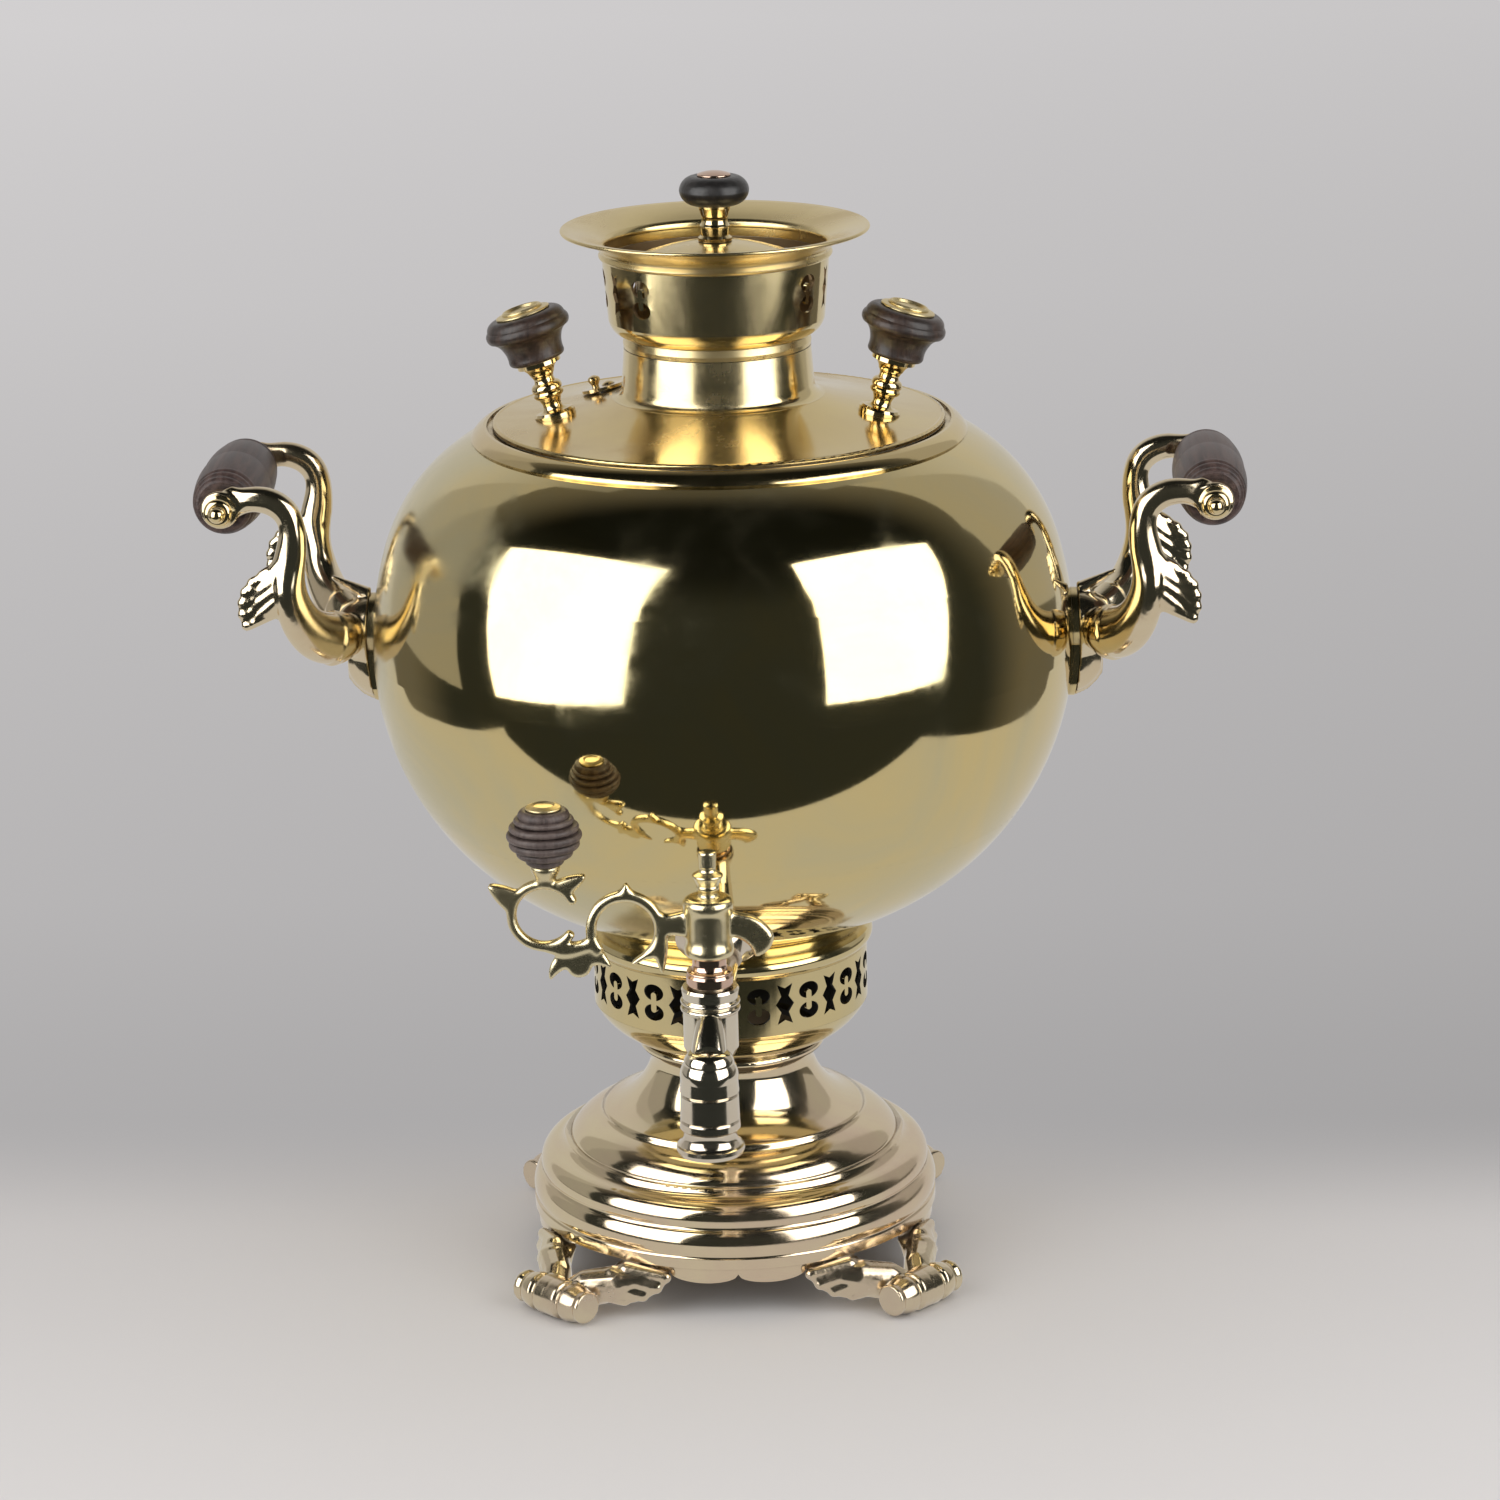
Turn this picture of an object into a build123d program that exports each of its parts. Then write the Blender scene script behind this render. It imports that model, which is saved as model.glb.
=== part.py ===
"""Ball-shaped brass samovar for charcoal: base on four roll feet, pierced gallery, ball with a flue in it,
lyre handles, plug tap, lid with a steam vent, crown for the teapot and a flue cap.

Millimetres, +Z up. The origin is on the ball's axis at table level. The tap points towards -Y, the handles
are on +X and -X.
"""
from build123d import *
import math
import os

os.makedirs("parts", exist_ok=True)

# Fits
solder_gap = 0.05           # between pieces that are soldered or clamped together
lift_gap = 0.3              # under and around a piece that lifts off
bore_gap = 0.05             # radial clearance of a pin or plug that turns
stud_gap = 0.2              # radial clearance of a screw in its hole

# Sheet and casting walls
sheet = 1.2
cast_wall = 2.5

# Base
rim_z = 20.5                # lower edge of the base ring above the table
base_radius = 79.7
base_height = 66.0          # base ring to the top of the waist
waist_radius = 31.8
base_turn = 3.3             # degrees that the base stands turned on its screw thread
apron_drop = 6.2
apron_inset = 1.4
apron_thick = 2.0
lobe_angle = 19.5           # width of a large apron lobe, seen from the axis
small_lobe_angle = 5.5

# Feet
foot_stand = 19.8           # roll's centre out from the rim
roll_radius = 7.6
roll_end_radius = 6.2
roll_length = 35.3
roll_flat = 0.12            # height ground off the roll where it rests
branch_angle = 13.8         # each branch leaves the rim this far from the foot's diagonal

# Gallery under the ball
bowl_height = 18.5
gallery_height = 23.0
gallery_radius = 53.7
gallery_wall = 1.4
gallery_motifs = 16
gallery_turn = 3.0
collar_height = 15.5
moulding_radius = 55.0

# Ball
ball_radius = 134.7
belly_height = 106.0        # foot of the ball to its equator
foot_radius = 59.0
shoulder_height = 81.0      # equator to the crease under the rim ring
mouth_radius = 94.0
shoulder_start = 40.0       # height above the equator where the curve tightens
shoulder_inset = 6.1
bottom_height = 44.5        # foot of the ball to the seam of its bottom bowl
ring_height = 5.3
ring_lip_radius = 88.3
ledge_radius = 80.5
ledge_drop = 1.1

# Flue and grate
flue_radius = 33.6
firebox_radius = 47.0
firebox_height = 120.0
flue_stand = 8.0            # flue above the crown's seat
grate_thick = 3.0
grate_slot = 4.0

# Lid
lid_radius = 86.0
lid_edge = 2.2
lid_rise = 27.3             # edge of the lid to the top of its collar
lid_collar_step = 1.9       # outside of the lid's collar beyond the flue
lid_collar_height = 14.5
knob_x = 61.0
knob_y = -12.0
knob_tilt = 16.0
knob_stud_radius = 2.0
vent_step = 7.35            # steam vent beyond the foot of the collar
vent_angle = 154.0
vent_radius = 8.0
vent_hole_radius = 2.5
vent_offset = 4.6           # rivet to the middle of the cover
vent_gap = 0.6              # under the cover, so that it swings clear of the hollow lid

# Crown and cap
crown_height = 45.3
crown_foot_step = 5.5       # foot of the pierced wall beyond the lid's collar
crown_wall_step = 1.9       # its top beyond its foot
crown_wall_height = 23.0
crown_lip_step = 14.8       # lip beyond the top of the wall
crown_well_step = 0.2
crown_turn = 9.0
cap_step = 3.6              # cap's wall inside the flue's outer radius
cap_top = 31.5              # cap's base to the top of its dome

# Handles
grip_radius = 13.5
grip_length = 69.6
grip_stand = 51.3           # grip's axis out from the ball's widest point
grip_rise = 62.0            # and above the equator
eye_thick = 7.0
rod_radius = 2.6
nut_radius = 6.2
plate_thick = 2.4
arm_start_stand = 7.3       # start of the arms out from the ball's widest point
arm_start_y = 8.5
arm_root_rise = 7.0         # and above the equator
arm_reach = 24.5            # grip's axis back to the arm's elbow

# Tap
tap_stand = 10.3            # plug's axis out from the ball's widest point
barrel_radius = 10.0
barrel_rise = 10.0          # barrel above the pipe's axis
barrel_drop = 16.0          # and below it
plug_top_radius = 7.0
plug_taper = 0.8            # the plug's radius lost from top to bottom
pipe_rise = 5.0             # pipe's axis above the ball's foot
pipe_radius = 7.6
water_radius = 3.4
seat_rise = 8.0             # middle of the joint on the ball above the pipe's axis
seat_sink = 1.2             # its rim below the ball's surface before it is cut to fit
spout_stand = 18.0          # spout's axis out from the plug's
spout_start = 4.5           # top of the spout below the pipe's axis
spout_drop = 47.0           # its mouth below the pipe's axis
spout_bore = 7.0
tang = 6.4                  # square on the plug that turns with the key
branch_thick = 4.6
key_rise = 24.0             # middle of the key's branch above the barrel
key_knob_x = -58.3
key_knob_radius = 13.35

# Radii and levels worked out from the sizes above
foot_reach = base_radius + foot_stand
lid_collar_radius = flue_radius + lid_collar_step
crown_foot_radius = lid_collar_radius + crown_foot_step
crown_wall_radius = crown_foot_radius + crown_wall_step
crown_lip_radius = crown_wall_radius + crown_lip_step
crown_well_radius = crown_wall_radius + crown_well_step
cap_radius = flue_radius - cap_step
waist_z = rim_z + base_height
gallery_z = waist_z + bowl_height
moulding_z = gallery_z + gallery_height
ball_foot_z = moulding_z + collar_height
equator_z = ball_foot_z + belly_height
mouth_z = equator_z + shoulder_height
ring_z = mouth_z + ring_height
ledge_z = ring_z - ledge_drop
lid_z = ledge_z + lift_gap + lid_edge
seat_z = lid_z + lid_rise
flue_top_z = seat_z + flue_stand
lip_z = seat_z + crown_height
cap_z = flue_top_z + lift_gap
grip_x = ball_radius + grip_stand
grip_z = equator_z + grip_rise
eye_y = grip_length / 2 + eye_thick / 2 + solder_gap
arm_start_x = ball_radius + arm_start_stand
arm_root_z = equator_z + arm_root_rise
tap_reach = ball_radius + tap_stand
pipe_z = ball_foot_z + pipe_rise
barrel_top_z = pipe_z + barrel_rise
barrel_bottom_z = pipe_z - barrel_drop
spout_reach = tap_reach + spout_stand
spout_top_z = pipe_z - spout_start
spout_bottom_z = pipe_z - spout_drop
key_arm_z = barrel_top_z + key_rise


def outline(*corners):
    """Closed face. A corner is (r, z), or (r, z, bow) where the edge to it is an arc that bows out that far.

    Corners run counterclockwise, so a bow above 0 is a bulge and one below 0 a hollow.
    """
    edges = []
    start = corners[-1][:2]
    for r, z, *bow in corners:
        end = (r, z)
        edges.append(SagittaArc(start, end, -bow[0]) if bow else Line(start, end))
        start = end
    return make_face(edges)


def turned(*corners):
    """Solid turned about the Z axis from an outline of (radius, height) corners."""
    return revolve(Plane.XZ * outline(*corners), Axis.Z)


def ring(inner, outer, bottom, top):
    return turned((inner, bottom), (outer, bottom), (outer, top), (inner, top))


def disc(radius, bottom, top):
    return Pos(0, 0, bottom) * Cylinder(radius, top - bottom, align=(Align.CENTER, Align.CENTER, Align.MIN))


def dome(radius, rise):
    """Bow of an arc that ends level on the axis, so that it turns into a dome."""
    return math.hypot(radius, rise) / 2 * math.tan(math.atan2(rise, radius) / 2)


def around(angle, radius=0.0, height=0.0):
    """Place on the samovar: angle in degrees from the front towards +X; local -Y points outward."""
    return Rot(0, 0, angle) * Pos(0, -radius, height)


def facing_out(angle, radius, height):
    """Plane across the radius at that angle, with its normal pointing outward."""
    return around(angle) * Plane((0, -radius, height), x_dir=(1, 0, 0), z_dir=(0, -1, 0))


def write(name, *solids):
    shape = solids[0] if len(solids) == 1 else Compound(children=list(solids))
    export_step(shape, f"parts/{name}.step")


# The ball's outline: a belly, a side and a tighter shoulder, each an arc that runs on from the one before

side_end = (ball_radius - shoulder_inset, equator_z + shoulder_start)
belly = TangentArc((ball_radius, equator_z), (foot_radius, ball_foot_z), tangent=(0, -1))
side = TangentArc((ball_radius, equator_z), side_end, tangent=(0, 1))
shoulder = TangentArc(side_end, (mouth_radius, mouth_z), tangent=side % 1)


def smooth(arc):
    """The same arc as a Bezier curve: an arc this flat, turned about the axis, is a torus that won't cut."""
    reach = arc.radius * math.tan(arc.length / arc.radius / 4) * 4 / 3
    return Bezier(arc @ 0, arc @ 0 + (arc % 0) * reach, arc @ 1 - (arc % 1) * reach, arc @ 1)


def ball_curves(extra):
    """The ball's three curves, moved outward by extra, with the lowest and the highest point."""

    def moved_end(edge, turn):
        end, heading = edge @ 1, edge % 1
        return end.X - turn * heading.Y * extra, end.Y + turn * heading.X * extra

    widest = (ball_radius + extra, equator_z)
    low, bend, top = moved_end(belly, 1), moved_end(side, -1), moved_end(shoulder, -1)
    arcs = (
        TangentArc(widest, low, tangent=(0, -1)), TangentArc(widest, bend, tangent=(0, 1)),
        TangentArc(bend, top, tangent=side % 1),
    )
    return [smooth(arc) for arc in arcs], low, top


def ball_block(extra=0.0):
    """The ball's whole outer form, grown by extra all round; used to cut what is fitted to it."""
    curves, low, top = ball_curves(extra)
    closing = [Line(top, (0, top[1])), Line((0, top[1]), (0, low[1])), Line((0, low[1]), low)]
    return revolve(Plane.XZ * make_face(curves + closing), Axis.Z)


# Base: pedestal with its apron, four roll feet


def pedestal():
    wall = cast_wall
    r = base_radius
    w = waist_radius
    z = rim_z
    skin = turned(
        (r - 1.0, z), (r, z), (r, z + 4.0), (r - 0.7, z + 4.6), (r - 0.3, z + 5.6), (r - 2.3, z + 14.6, 1.2),
        (r - 3.7, z + 15.2), (r - 3.1, z + 16.4), (r - 8.7, z + 24.6, 2.0), (r - 13.1, z + 28.2, -0.9),
        (r - 15.1, z + 28.0), (r - 14.9, z + 28.6), (r - 26.3, z + 37.2, 1.4), (r - 28.7, z + 38.0),
        (r - 27.7, z + 39.3), (w, waist_z - 6.0, -4.2), (w + 1.2, waist_z - 1.0), (w + 3.6, waist_z - 1.0),
        (w + 4.2, waist_z + 2.0, 0.8), (w - wall, waist_z + 2.0), (w - wall, waist_z - 6.0),
        (r - 29.0, z + 36.0, 4.2), (r - 16.5, z + 25.6), (r - 9.5, z + 21.0), (r - 5.4, z + 14.0, -1.0),
        (r - 1.0 - wall, z + 4.0), (r - 1.0 - wall, z),
    )
    return skin + apron()


def apron():
    """Scalloped skirt under the rim, two large and two small lobes between each pair of feet."""
    outer = base_radius - apron_inset
    band = ring(outer - apron_thick, outer, rim_z - apron_drop, rim_z + 0.4)
    lobes = []
    for quarter in range(4):
        for mirror_sign in (-1, 1):
            for middle, width, drop in (
                (lobe_angle / 2, lobe_angle, apron_drop),
                (lobe_angle + small_lobe_angle / 2, small_lobe_angle, apron_drop * 0.75),
            ):
                half = outer * math.radians(width) / 2
                cusp = drop * 0.6
                radius = (half * half + cusp * cusp) / (2 * cusp)
                angle = 90 * quarter + mirror_sign * middle
                place = facing_out(angle, outer - 6, rim_z - drop + radius)
                lobes.append(extrude(place * Circle(radius), 8))
    kept = band & lobes[0]
    for lobe in lobes[1:]:
        kept += band & lobe
    return kept


def petal(start, end, thick, tip):
    """Round lobe of a leaf, thick at its start and tapering to its tip."""
    run = Vector(*end) - Vector(*start)
    lobe = Cone(thick, tip, run.length, align=(Align.CENTER, Align.CENTER, Align.MIN))
    return Plane(origin=start, z_dir=run) * (lobe + Pos(0, 0, run.length) * Sphere(tip))


def foot():
    """Roll foot in its own frame: outward is +X, the roll lies along Y, two branches reach up to the rim."""
    half = roll_length / 2
    r = roll_radius
    end = roll_end_radius
    roll = turned(
        (0, -half), (end, -half), (end + 0.2, -half + 1.8), (end - 0.7, -half + 3.0),
        (r - 0.2, -half + 9.6, 0.5),
        (r - 1.5, -half + 10.6), (r - 1.5, -half + 11.4), (r, -half + 12.2), (r, -0.5), (r - 0.4, 0),
        (r, 0.5),
        (r, half - 12.2), (r - 1.5, half - 11.4), (r - 1.5, half - 10.6), (r - 0.2, half - 9.6),
        (end - 0.7, half - 3.0, 0.5), (end + 0.2, half - 1.8), (end, half), (0, half),
    )
    roll_z = r - roll_flat
    casting = Pos(foot_reach, 0, roll_z) * Rot(90, 0, 0) * roll
    for sign in (-1, 1):

        def spot(beyond_rim, angle, below_rim):
            turn = math.radians(sign * angle)
            reach = base_radius + beyond_rim
            return reach * math.cos(turn), reach * math.sin(turn), rim_z - below_rim

        stations = (
            # distance from the samovar's axis, angle from the diagonal, height, half width, half depth, lean
            (base_radius - 5.2, branch_angle, rim_z, 6.6, 4.0, 0),
            (base_radius + 4.3, branch_angle - 2.3, rim_z - 7.7, 7.6, 5.2, 48),
            (foot_reach - 4.0, 3.0, roll_z + 1.2, 5.4, 4.8, 76),
        )
        sections = []
        for reach, angle, height, width, depth, lean in stations:
            at = Rot(0, 0, sign * angle) * Pos(reach, 0, height) * Rot(0, 180 - lean, 0)
            sections.append(at * Ellipse(depth, width))
        casting += loft(sections)
        # the leaf that wraps the branch: four lobes that twist from its foot to its curled tip
        casting += petal(spot(9.3, 7.0, 10.5), spot(3.9, 18.0, 10.3), 4.8, 1.3)
        casting += petal(spot(8.3, 8.0, 8.3), spot(2.7, 21.5, 7.5), 4.6, 1.3)
        casting += petal(spot(7.3, 9.0, 6.1), spot(1.9, 24.5, 4.1), 4.2, 1.2)
        casting += petal(spot(11.3, 5.0, 7.1), spot(1.5, 14.0, 1.9), 4.4, 1.6)
    table = Pos(foot_reach, 0, -10) * Box(60, 80, 20)
    above_rim = Pos(base_radius, 0, rim_z + 5) * Box(80, 120, 10)
    return (casting - table - above_rim).solids().sort_by(SortBy.VOLUME)[-1]


# Gallery


def kidney(height):
    """Upper hole of a figure-of-eight piercing, with a tongue rising from the bar between the holes."""
    half_width = height * 0.275
    half_height = height * 0.205
    tongue = SlotOverall(half_height * 1.9, height * 0.15, rotation=90)
    return Pos(0, height * 0.25) * (Ellipse(half_width, half_height) - Pos(0, -half_height * 0.95) * tongue)


def star(height, width):
    """Tall six-pointed piercing that stands between two eights."""
    tip_x = width * 0.42
    waist_x = width * 0.21
    corners = [
        (0, height * 0.4), (tip_x, height / 2), (waist_x, height * 0.2), (width / 2, 0),
        (waist_x, -height * 0.2),
        (tip_x, -height / 2), (0, -height * 0.4), (-tip_x, -height / 2), (-waist_x, -height * 0.2),
        (-width / 2, 0),
        (-waist_x, height * 0.2), (-tip_x, height / 2),
    ]
    return make_face(Polyline(*corners, close=True))


def piercers(radius, height, star_width):
    """Cutters at the front of a wall of that radius, centred on height 0: an eight's two, and a star's."""
    place = facing_out(0, radius - 6, 0)
    upper = extrude(place * kidney(height), 12)
    return [upper, mirror(upper, Plane.XY)], extrude(place * star(height, star_width), 12)


def gallery_band():
    band = ring(gallery_radius - gallery_wall, gallery_radius, gallery_z, moulding_z)
    middle = gallery_z + gallery_height * 0.53
    step = 360 / gallery_motifs
    eight, tall_star = piercers(gallery_radius, gallery_height * 0.7, 7.6)
    cutters = []
    for count in range(gallery_motifs):
        angle = gallery_turn + count * step
        cutters += [around(angle + step / 2, 0, middle) * half for half in eight]
        cutters.append(around(angle, 0, middle) * tall_star)
    return band.cut(*cutters)


def gallery_bowl():
    top = gallery_z - solder_gap
    wall = gallery_wall
    neck = waist_radius + 1.5
    low = waist_z + 2.0 + solder_gap
    return turned(
        (neck - 5.0, low), (neck, low), (neck, low + 1.0), (gallery_radius, top, 3.0),
        (gallery_radius - wall, top),
        (neck, low + 1.0 + wall, -3.0), (neck - 5.0, low + 1.0 + wall),
    )


def ball_collar():
    """Ring moulding over the gallery and the cove that carries the ball."""
    z = moulding_z + solder_gap
    inner = gallery_radius - 3.4
    return turned(
        (gallery_radius, z), (moulding_radius, z + 1.5), (moulding_radius, z + 6.6, 1.0),
        (moulding_radius - 3.0, z + 8.0),
        (foot_radius, ball_foot_z - solder_gap, -1.6), (foot_radius - 3.0, ball_foot_z - solder_gap),
        (inner, z + 9.0), (inner, z),
    )


# Ball, flue, firebox


def ball_wall(count):
    """Wall of the ball along one of its three curves."""
    outer, inner = ball_curves(0)[0][count], ball_curves(-sheet)[0][count]
    ends = [Line(outer @ 0, inner @ 0), Line(outer @ 1, inner @ 1)]
    return revolve(Plane.XZ * make_face([outer, inner] + ends), Axis.Z)


def ball_bottom():
    """Bottom bowl of the ball, with the hole through which the tap draws water."""
    port = Pos(0, -tap_reach / 2, pipe_z) * Rot(90, 0, 0) * Cylinder(water_radius, tap_reach)
    seam = ball_foot_z + bottom_height
    return (ball_wall(0) & disc(2 * ball_radius, ball_foot_z - 1, seam)) - port


def ball_belly():
    return ball_wall(0) & disc(2 * ball_radius, ball_foot_z + bottom_height, equator_z + 1)


def ball_side():
    return ball_wall(1)


def ball_shoulder():
    return ball_wall(2)


def rim_ring():
    """Ring round the mouth: a raised lip, and a ledge inside it that the lid lies on."""
    return turned(
        (mouth_radius, mouth_z + solder_gap), (mouth_radius + 0.4, mouth_z + 0.8),
        (ring_lip_radius + 1.2, ring_z, 0.6), (ring_lip_radius, ring_z), (ring_lip_radius, ledge_z),
        (ledge_radius, ledge_z), (ledge_radius, ledge_z - sheet), (ring_lip_radius, ledge_z - sheet),
        (mouth_radius - 1.6, mouth_z + solder_gap),
    )


def firebox_cone():
    """Wide lower part of the flue, round the fire, with a turned-in lip at its foot for the grate."""
    top = ball_foot_z + firebox_height
    return turned(
        (firebox_radius, ball_foot_z), (flue_radius, top), (flue_radius - sheet, top),
        (firebox_radius - sheet, ball_foot_z + sheet), (firebox_radius - 4.0, ball_foot_z + sheet),
        (firebox_radius - 4.0, ball_foot_z),
    )


def flue_tube():
    """Straight upper part of the flue, from the firebox through the lid and the crown."""
    return ring(flue_radius - sheet, flue_radius, ball_foot_z + firebox_height + solder_gap, flue_top_z)


def boiler_floor():
    bottom = ball_foot_z + sheet + 0.2
    inner = firebox_radius + 0.1
    return turned((inner, bottom), (foot_radius - 0.8, bottom), (foot_radius + 0.6, bottom + sheet),
                  (inner, bottom + sheet))


def fire_grate():
    bottom = ball_foot_z + sheet + 0.1
    radius = firebox_radius - sheet - 1.0
    plate = disc(radius, bottom, bottom + grate_thick)
    slots = []
    for count in range(-3, 4):
        y = count * grate_slot * 2.4
        length = 2 * math.sqrt((radius - 6.0) ** 2 - y * y)
        slots.append(Pos(0, y, bottom) * Box(length, grate_slot, grate_thick * 3))
    return plate.cut(*slots)


# Handles: built on the +X side and mirrored


def handle_plate():
    """Teardrop plate dished to the ball."""
    z = arm_root_z
    drop = Pos(0, z) * Circle(12) + Pos(0, z - 23) * Circle(7.5) + Pos(0, z - 12) * Rectangle(17, 24)
    blank = extrude(Plane.YZ * drop, 2 * ball_radius)
    return (blank & ball_block(plate_thick)) - ball_block()


def handle_root():
    """Block between the plate and the two arms, with a pointed leaf over the plate's point and one on top."""
    face = Plane((ball_radius - 3.0, 0, arm_root_z), x_dir=(0, 1, 0), z_dir=(1, 0, 0))
    block = loft([face * Pos(0, -3, 0) * Ellipse(13, 15), face * Pos(0, -2, 10) * Ellipse(12.4, 12.5),
                  face * Pos(0, -1, 16) * Ellipse(10, 8)])
    leaf_pad = loft([face * Pos(0, -14.5, 0) * Ellipse(9, 15), face * Pos(0, -14, 8) * Ellipse(8.4, 13),
                     face * Pos(0, -12, 13.5) * Ellipse(5.4, 8.5)])
    ridge = loft([face * Pos(0, -14.5, 0) * Ellipse(2, 16.5), face * Pos(0, -14, 8) * Ellipse(1.8, 14.6),
                  face * Pos(0, -12, 14.2) * Ellipse(1.2, 9.6)])
    top_leaf = petal((ball_radius + 1, 0, arm_root_z + 10.5),
                     (ball_radius + 15.5, 0, arm_root_z + 18.5), 3.6, 1.0)
    return block + leaf_pad + ridge + top_leaf - ball_block(plate_thick + solder_gap)


def arm(sign):
    """S-shaped arm: it fans out from the root in an upright plane, then arches over to the grip's eye."""
    elbow_x = grip_x - arm_reach
    run = Vector(elbow_x - arm_start_x, sign * (eye_y - arm_start_y), 0)
    fan = Plane((arm_start_x, sign * arm_start_y, 0), x_dir=run, z_dir=run.cross(Vector(0, 0, 1)))
    arch = Plane((elbow_x, sign * eye_y, 0), x_dir=(1, 0, 0), z_dir=(0, -1, 0))
    low = (run.length * 0.3, arm_root_z - 1.0)
    elbow = (run.length, arm_root_z + 27.0)
    rise = TangentArc(elbow, low, tangent=(0, -1))
    dip = TangentArc(low, (0, arm_root_z), tangent=rise % 1)
    waist = (-2.0, arm_root_z + 42.0)
    crest = (arm_reach - 15.0, grip_z + 3.4)
    lean = TangentArc((0, elbow[1]), waist, tangent=(0, 1))
    climb = TangentArc(waist, crest, tangent=lean % 1)
    fall = TangentArc(crest, (arm_reach, grip_z), tangent=climb % 1)

    def section(plane, curve, share, deep, wide):
        """Ellipse across the arm, half its depth in the plane of the curve and half its width."""
        heading = (plane * curve) % share
        return Plane((plane * curve) @ share, x_dir=heading.cross(plane.z_dir),
                     z_dir=heading) * Ellipse(deep, wide)

    def back_section(curve, share, deep, wide):
        """The same on a curve of the fan that is drawn from its far end."""
        heading = (fan * curve) % share * -1
        return Plane((fan * curve) @ share, x_dir=heading.cross(fan.z_dir), z_dir=heading) * Ellipse(deep,
                                                                                                     wide)

    cuff = loft([back_section(dip, 1.0, 7.2, 5.2), back_section(dip, 0.5, 9.4, 7.2),
                 back_section(dip, 0.0, 10.6, 8.2),
                 back_section(rise, 0.93, 10.9, 8.4)])
    stem = loft([
        back_section(dip, 0.4, 8.0, 6.6), back_section(rise, 0.96, 9.8, 7.6),
        back_section(rise, 0.78, 9.9, 7.6),
        back_section(rise, 0.55, 9.0, 7.0), back_section(rise, 0.3, 7.8, 6.2),
        back_section(rise, 0.08, 7.0, 5.6),
        section(arch, lean, 0.35, 6.2, 5.2), section(arch, lean, 1.0, 5.6, 5.0),
        section(arch, climb, 0.5, 5.1, 4.8),
        section(arch, climb, 1.0, 5.0, 4.3), section(arch, fall, 0.45, 5.2, 3.45),
        section(arch, fall, 1.0, 5.4, 3.2),
    ])
    solid = stem + cuff
    # the fluted spur on the outer side: lobes that spread from one root, each longer than the one above it
    for end_x, end_z, thick in ((13.5, 22.0, 4.4), (17.0, 18.5, 4.4), (17.8, 14.0, 4.6), (16.6, 9.6, 4.8)):
        root = (elbow_x + 2.0, sign * eye_y, arm_root_z + 33.0 - (22.0 - end_z) * 0.9)
        solid += petal(root, (elbow_x + end_x, sign * eye_y, arm_root_z + end_z), thick, 1.5)
    across = Pos(grip_x, sign * eye_y, grip_z) * Rot(90, 0, 0)
    solid += across * Cylinder(nut_radius + 1.0, eye_thick)
    solid -= Pos(grip_x, 0, grip_z) * Rot(90, 0, 0) * Cylinder(grip_radius + 1, grip_length + 2 * solder_gap)
    return solid - across * Cylinder(rod_radius + bore_gap, 2 * eye_thick)


def handle_bracket():
    return handle_root() + arm(-1) + arm(1)


def grip():
    """Turned wooden barrel with two ringed steps at each end."""
    half = grip_length / 2
    r = grip_radius
    barrel = turned(
        (0, -half), (r - 4.2, -half), (r - 2.5, -half + 2.8, 0.6), (r - 3.2, -half + 3.6),
        (r - 1.5, -half + 6.6, 0.6),
        (r - 2.3, -half + 7.4), (r - 1.0, -half + 10.4, 0.5), (r, 0, 0.6), (r - 1.0, half - 10.4, 0.6),
        (r - 2.3, half - 7.4, 0.5), (r - 1.5, half - 6.6), (r - 3.2, half - 3.6, 0.6), (r - 2.5, half - 2.8),
        (r - 4.2, half, 0.6), (0, half),
    )
    return Pos(grip_x, 0, grip_z) * Rot(90, 0, 0) * (barrel - Cylinder(rod_radius + stud_gap,
                                                                       2 * grip_length))


def grip_rod():
    return Pos(grip_x, 0, grip_z) * Rot(90, 0, 0) * Cylinder(rod_radius, 2 * eye_y + eye_thick)


def grip_nuts():
    """Domed nut with a ball tip, one at each end of the rod."""
    r = nut_radius
    face = eye_y + eye_thick / 2 + solder_gap
    nut = turned((0, 0.2), (r, 0.2), (r, 1.6), (r - 1.3, 2.2), (r - 0.9, 3.2), (3.0, 6.0, 1.0), (2.4, 6.3),
                 (2.9, 8.0, 0.6), (0, 10.3, dome(2.9, 2.3)))
    place = Pos(grip_x, 0, grip_z)
    front = place * Pos(0, -face, 0) * Rot(90, 0, 0) * nut
    back = place * Pos(0, face, 0) * Rot(-90, 0, 0) * nut
    return front, back


# Tap


def belly_radius(height):
    """Outer radius of the ball at a height below its equator."""
    fall = equator_z - height
    return ball_radius - belly.radius + math.sqrt(belly.radius ** 2 - fall ** 2)


def tap_escutcheon():
    """Flared joint where the tap's shank meets the ball."""
    flare = turned((0, -14), (16, -14), (16, 1.5), (pipe_radius + 1.6, 10, -1.4), (0, 10))
    seat_height = pipe_z + seat_rise
    seat_radius = belly_radius(seat_height) - seat_sink
    tilt = 34.0
    joint = Pos(0, -seat_radius, seat_height) * Rot(90 + tilt, 0, 0) * flare
    shank = Pos(0, -(seat_radius + 4), pipe_z) * Rot(90, 0, 0) * Cylinder(pipe_radius + bore_gap, 80)
    return joint - ball_block() - shank


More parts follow.
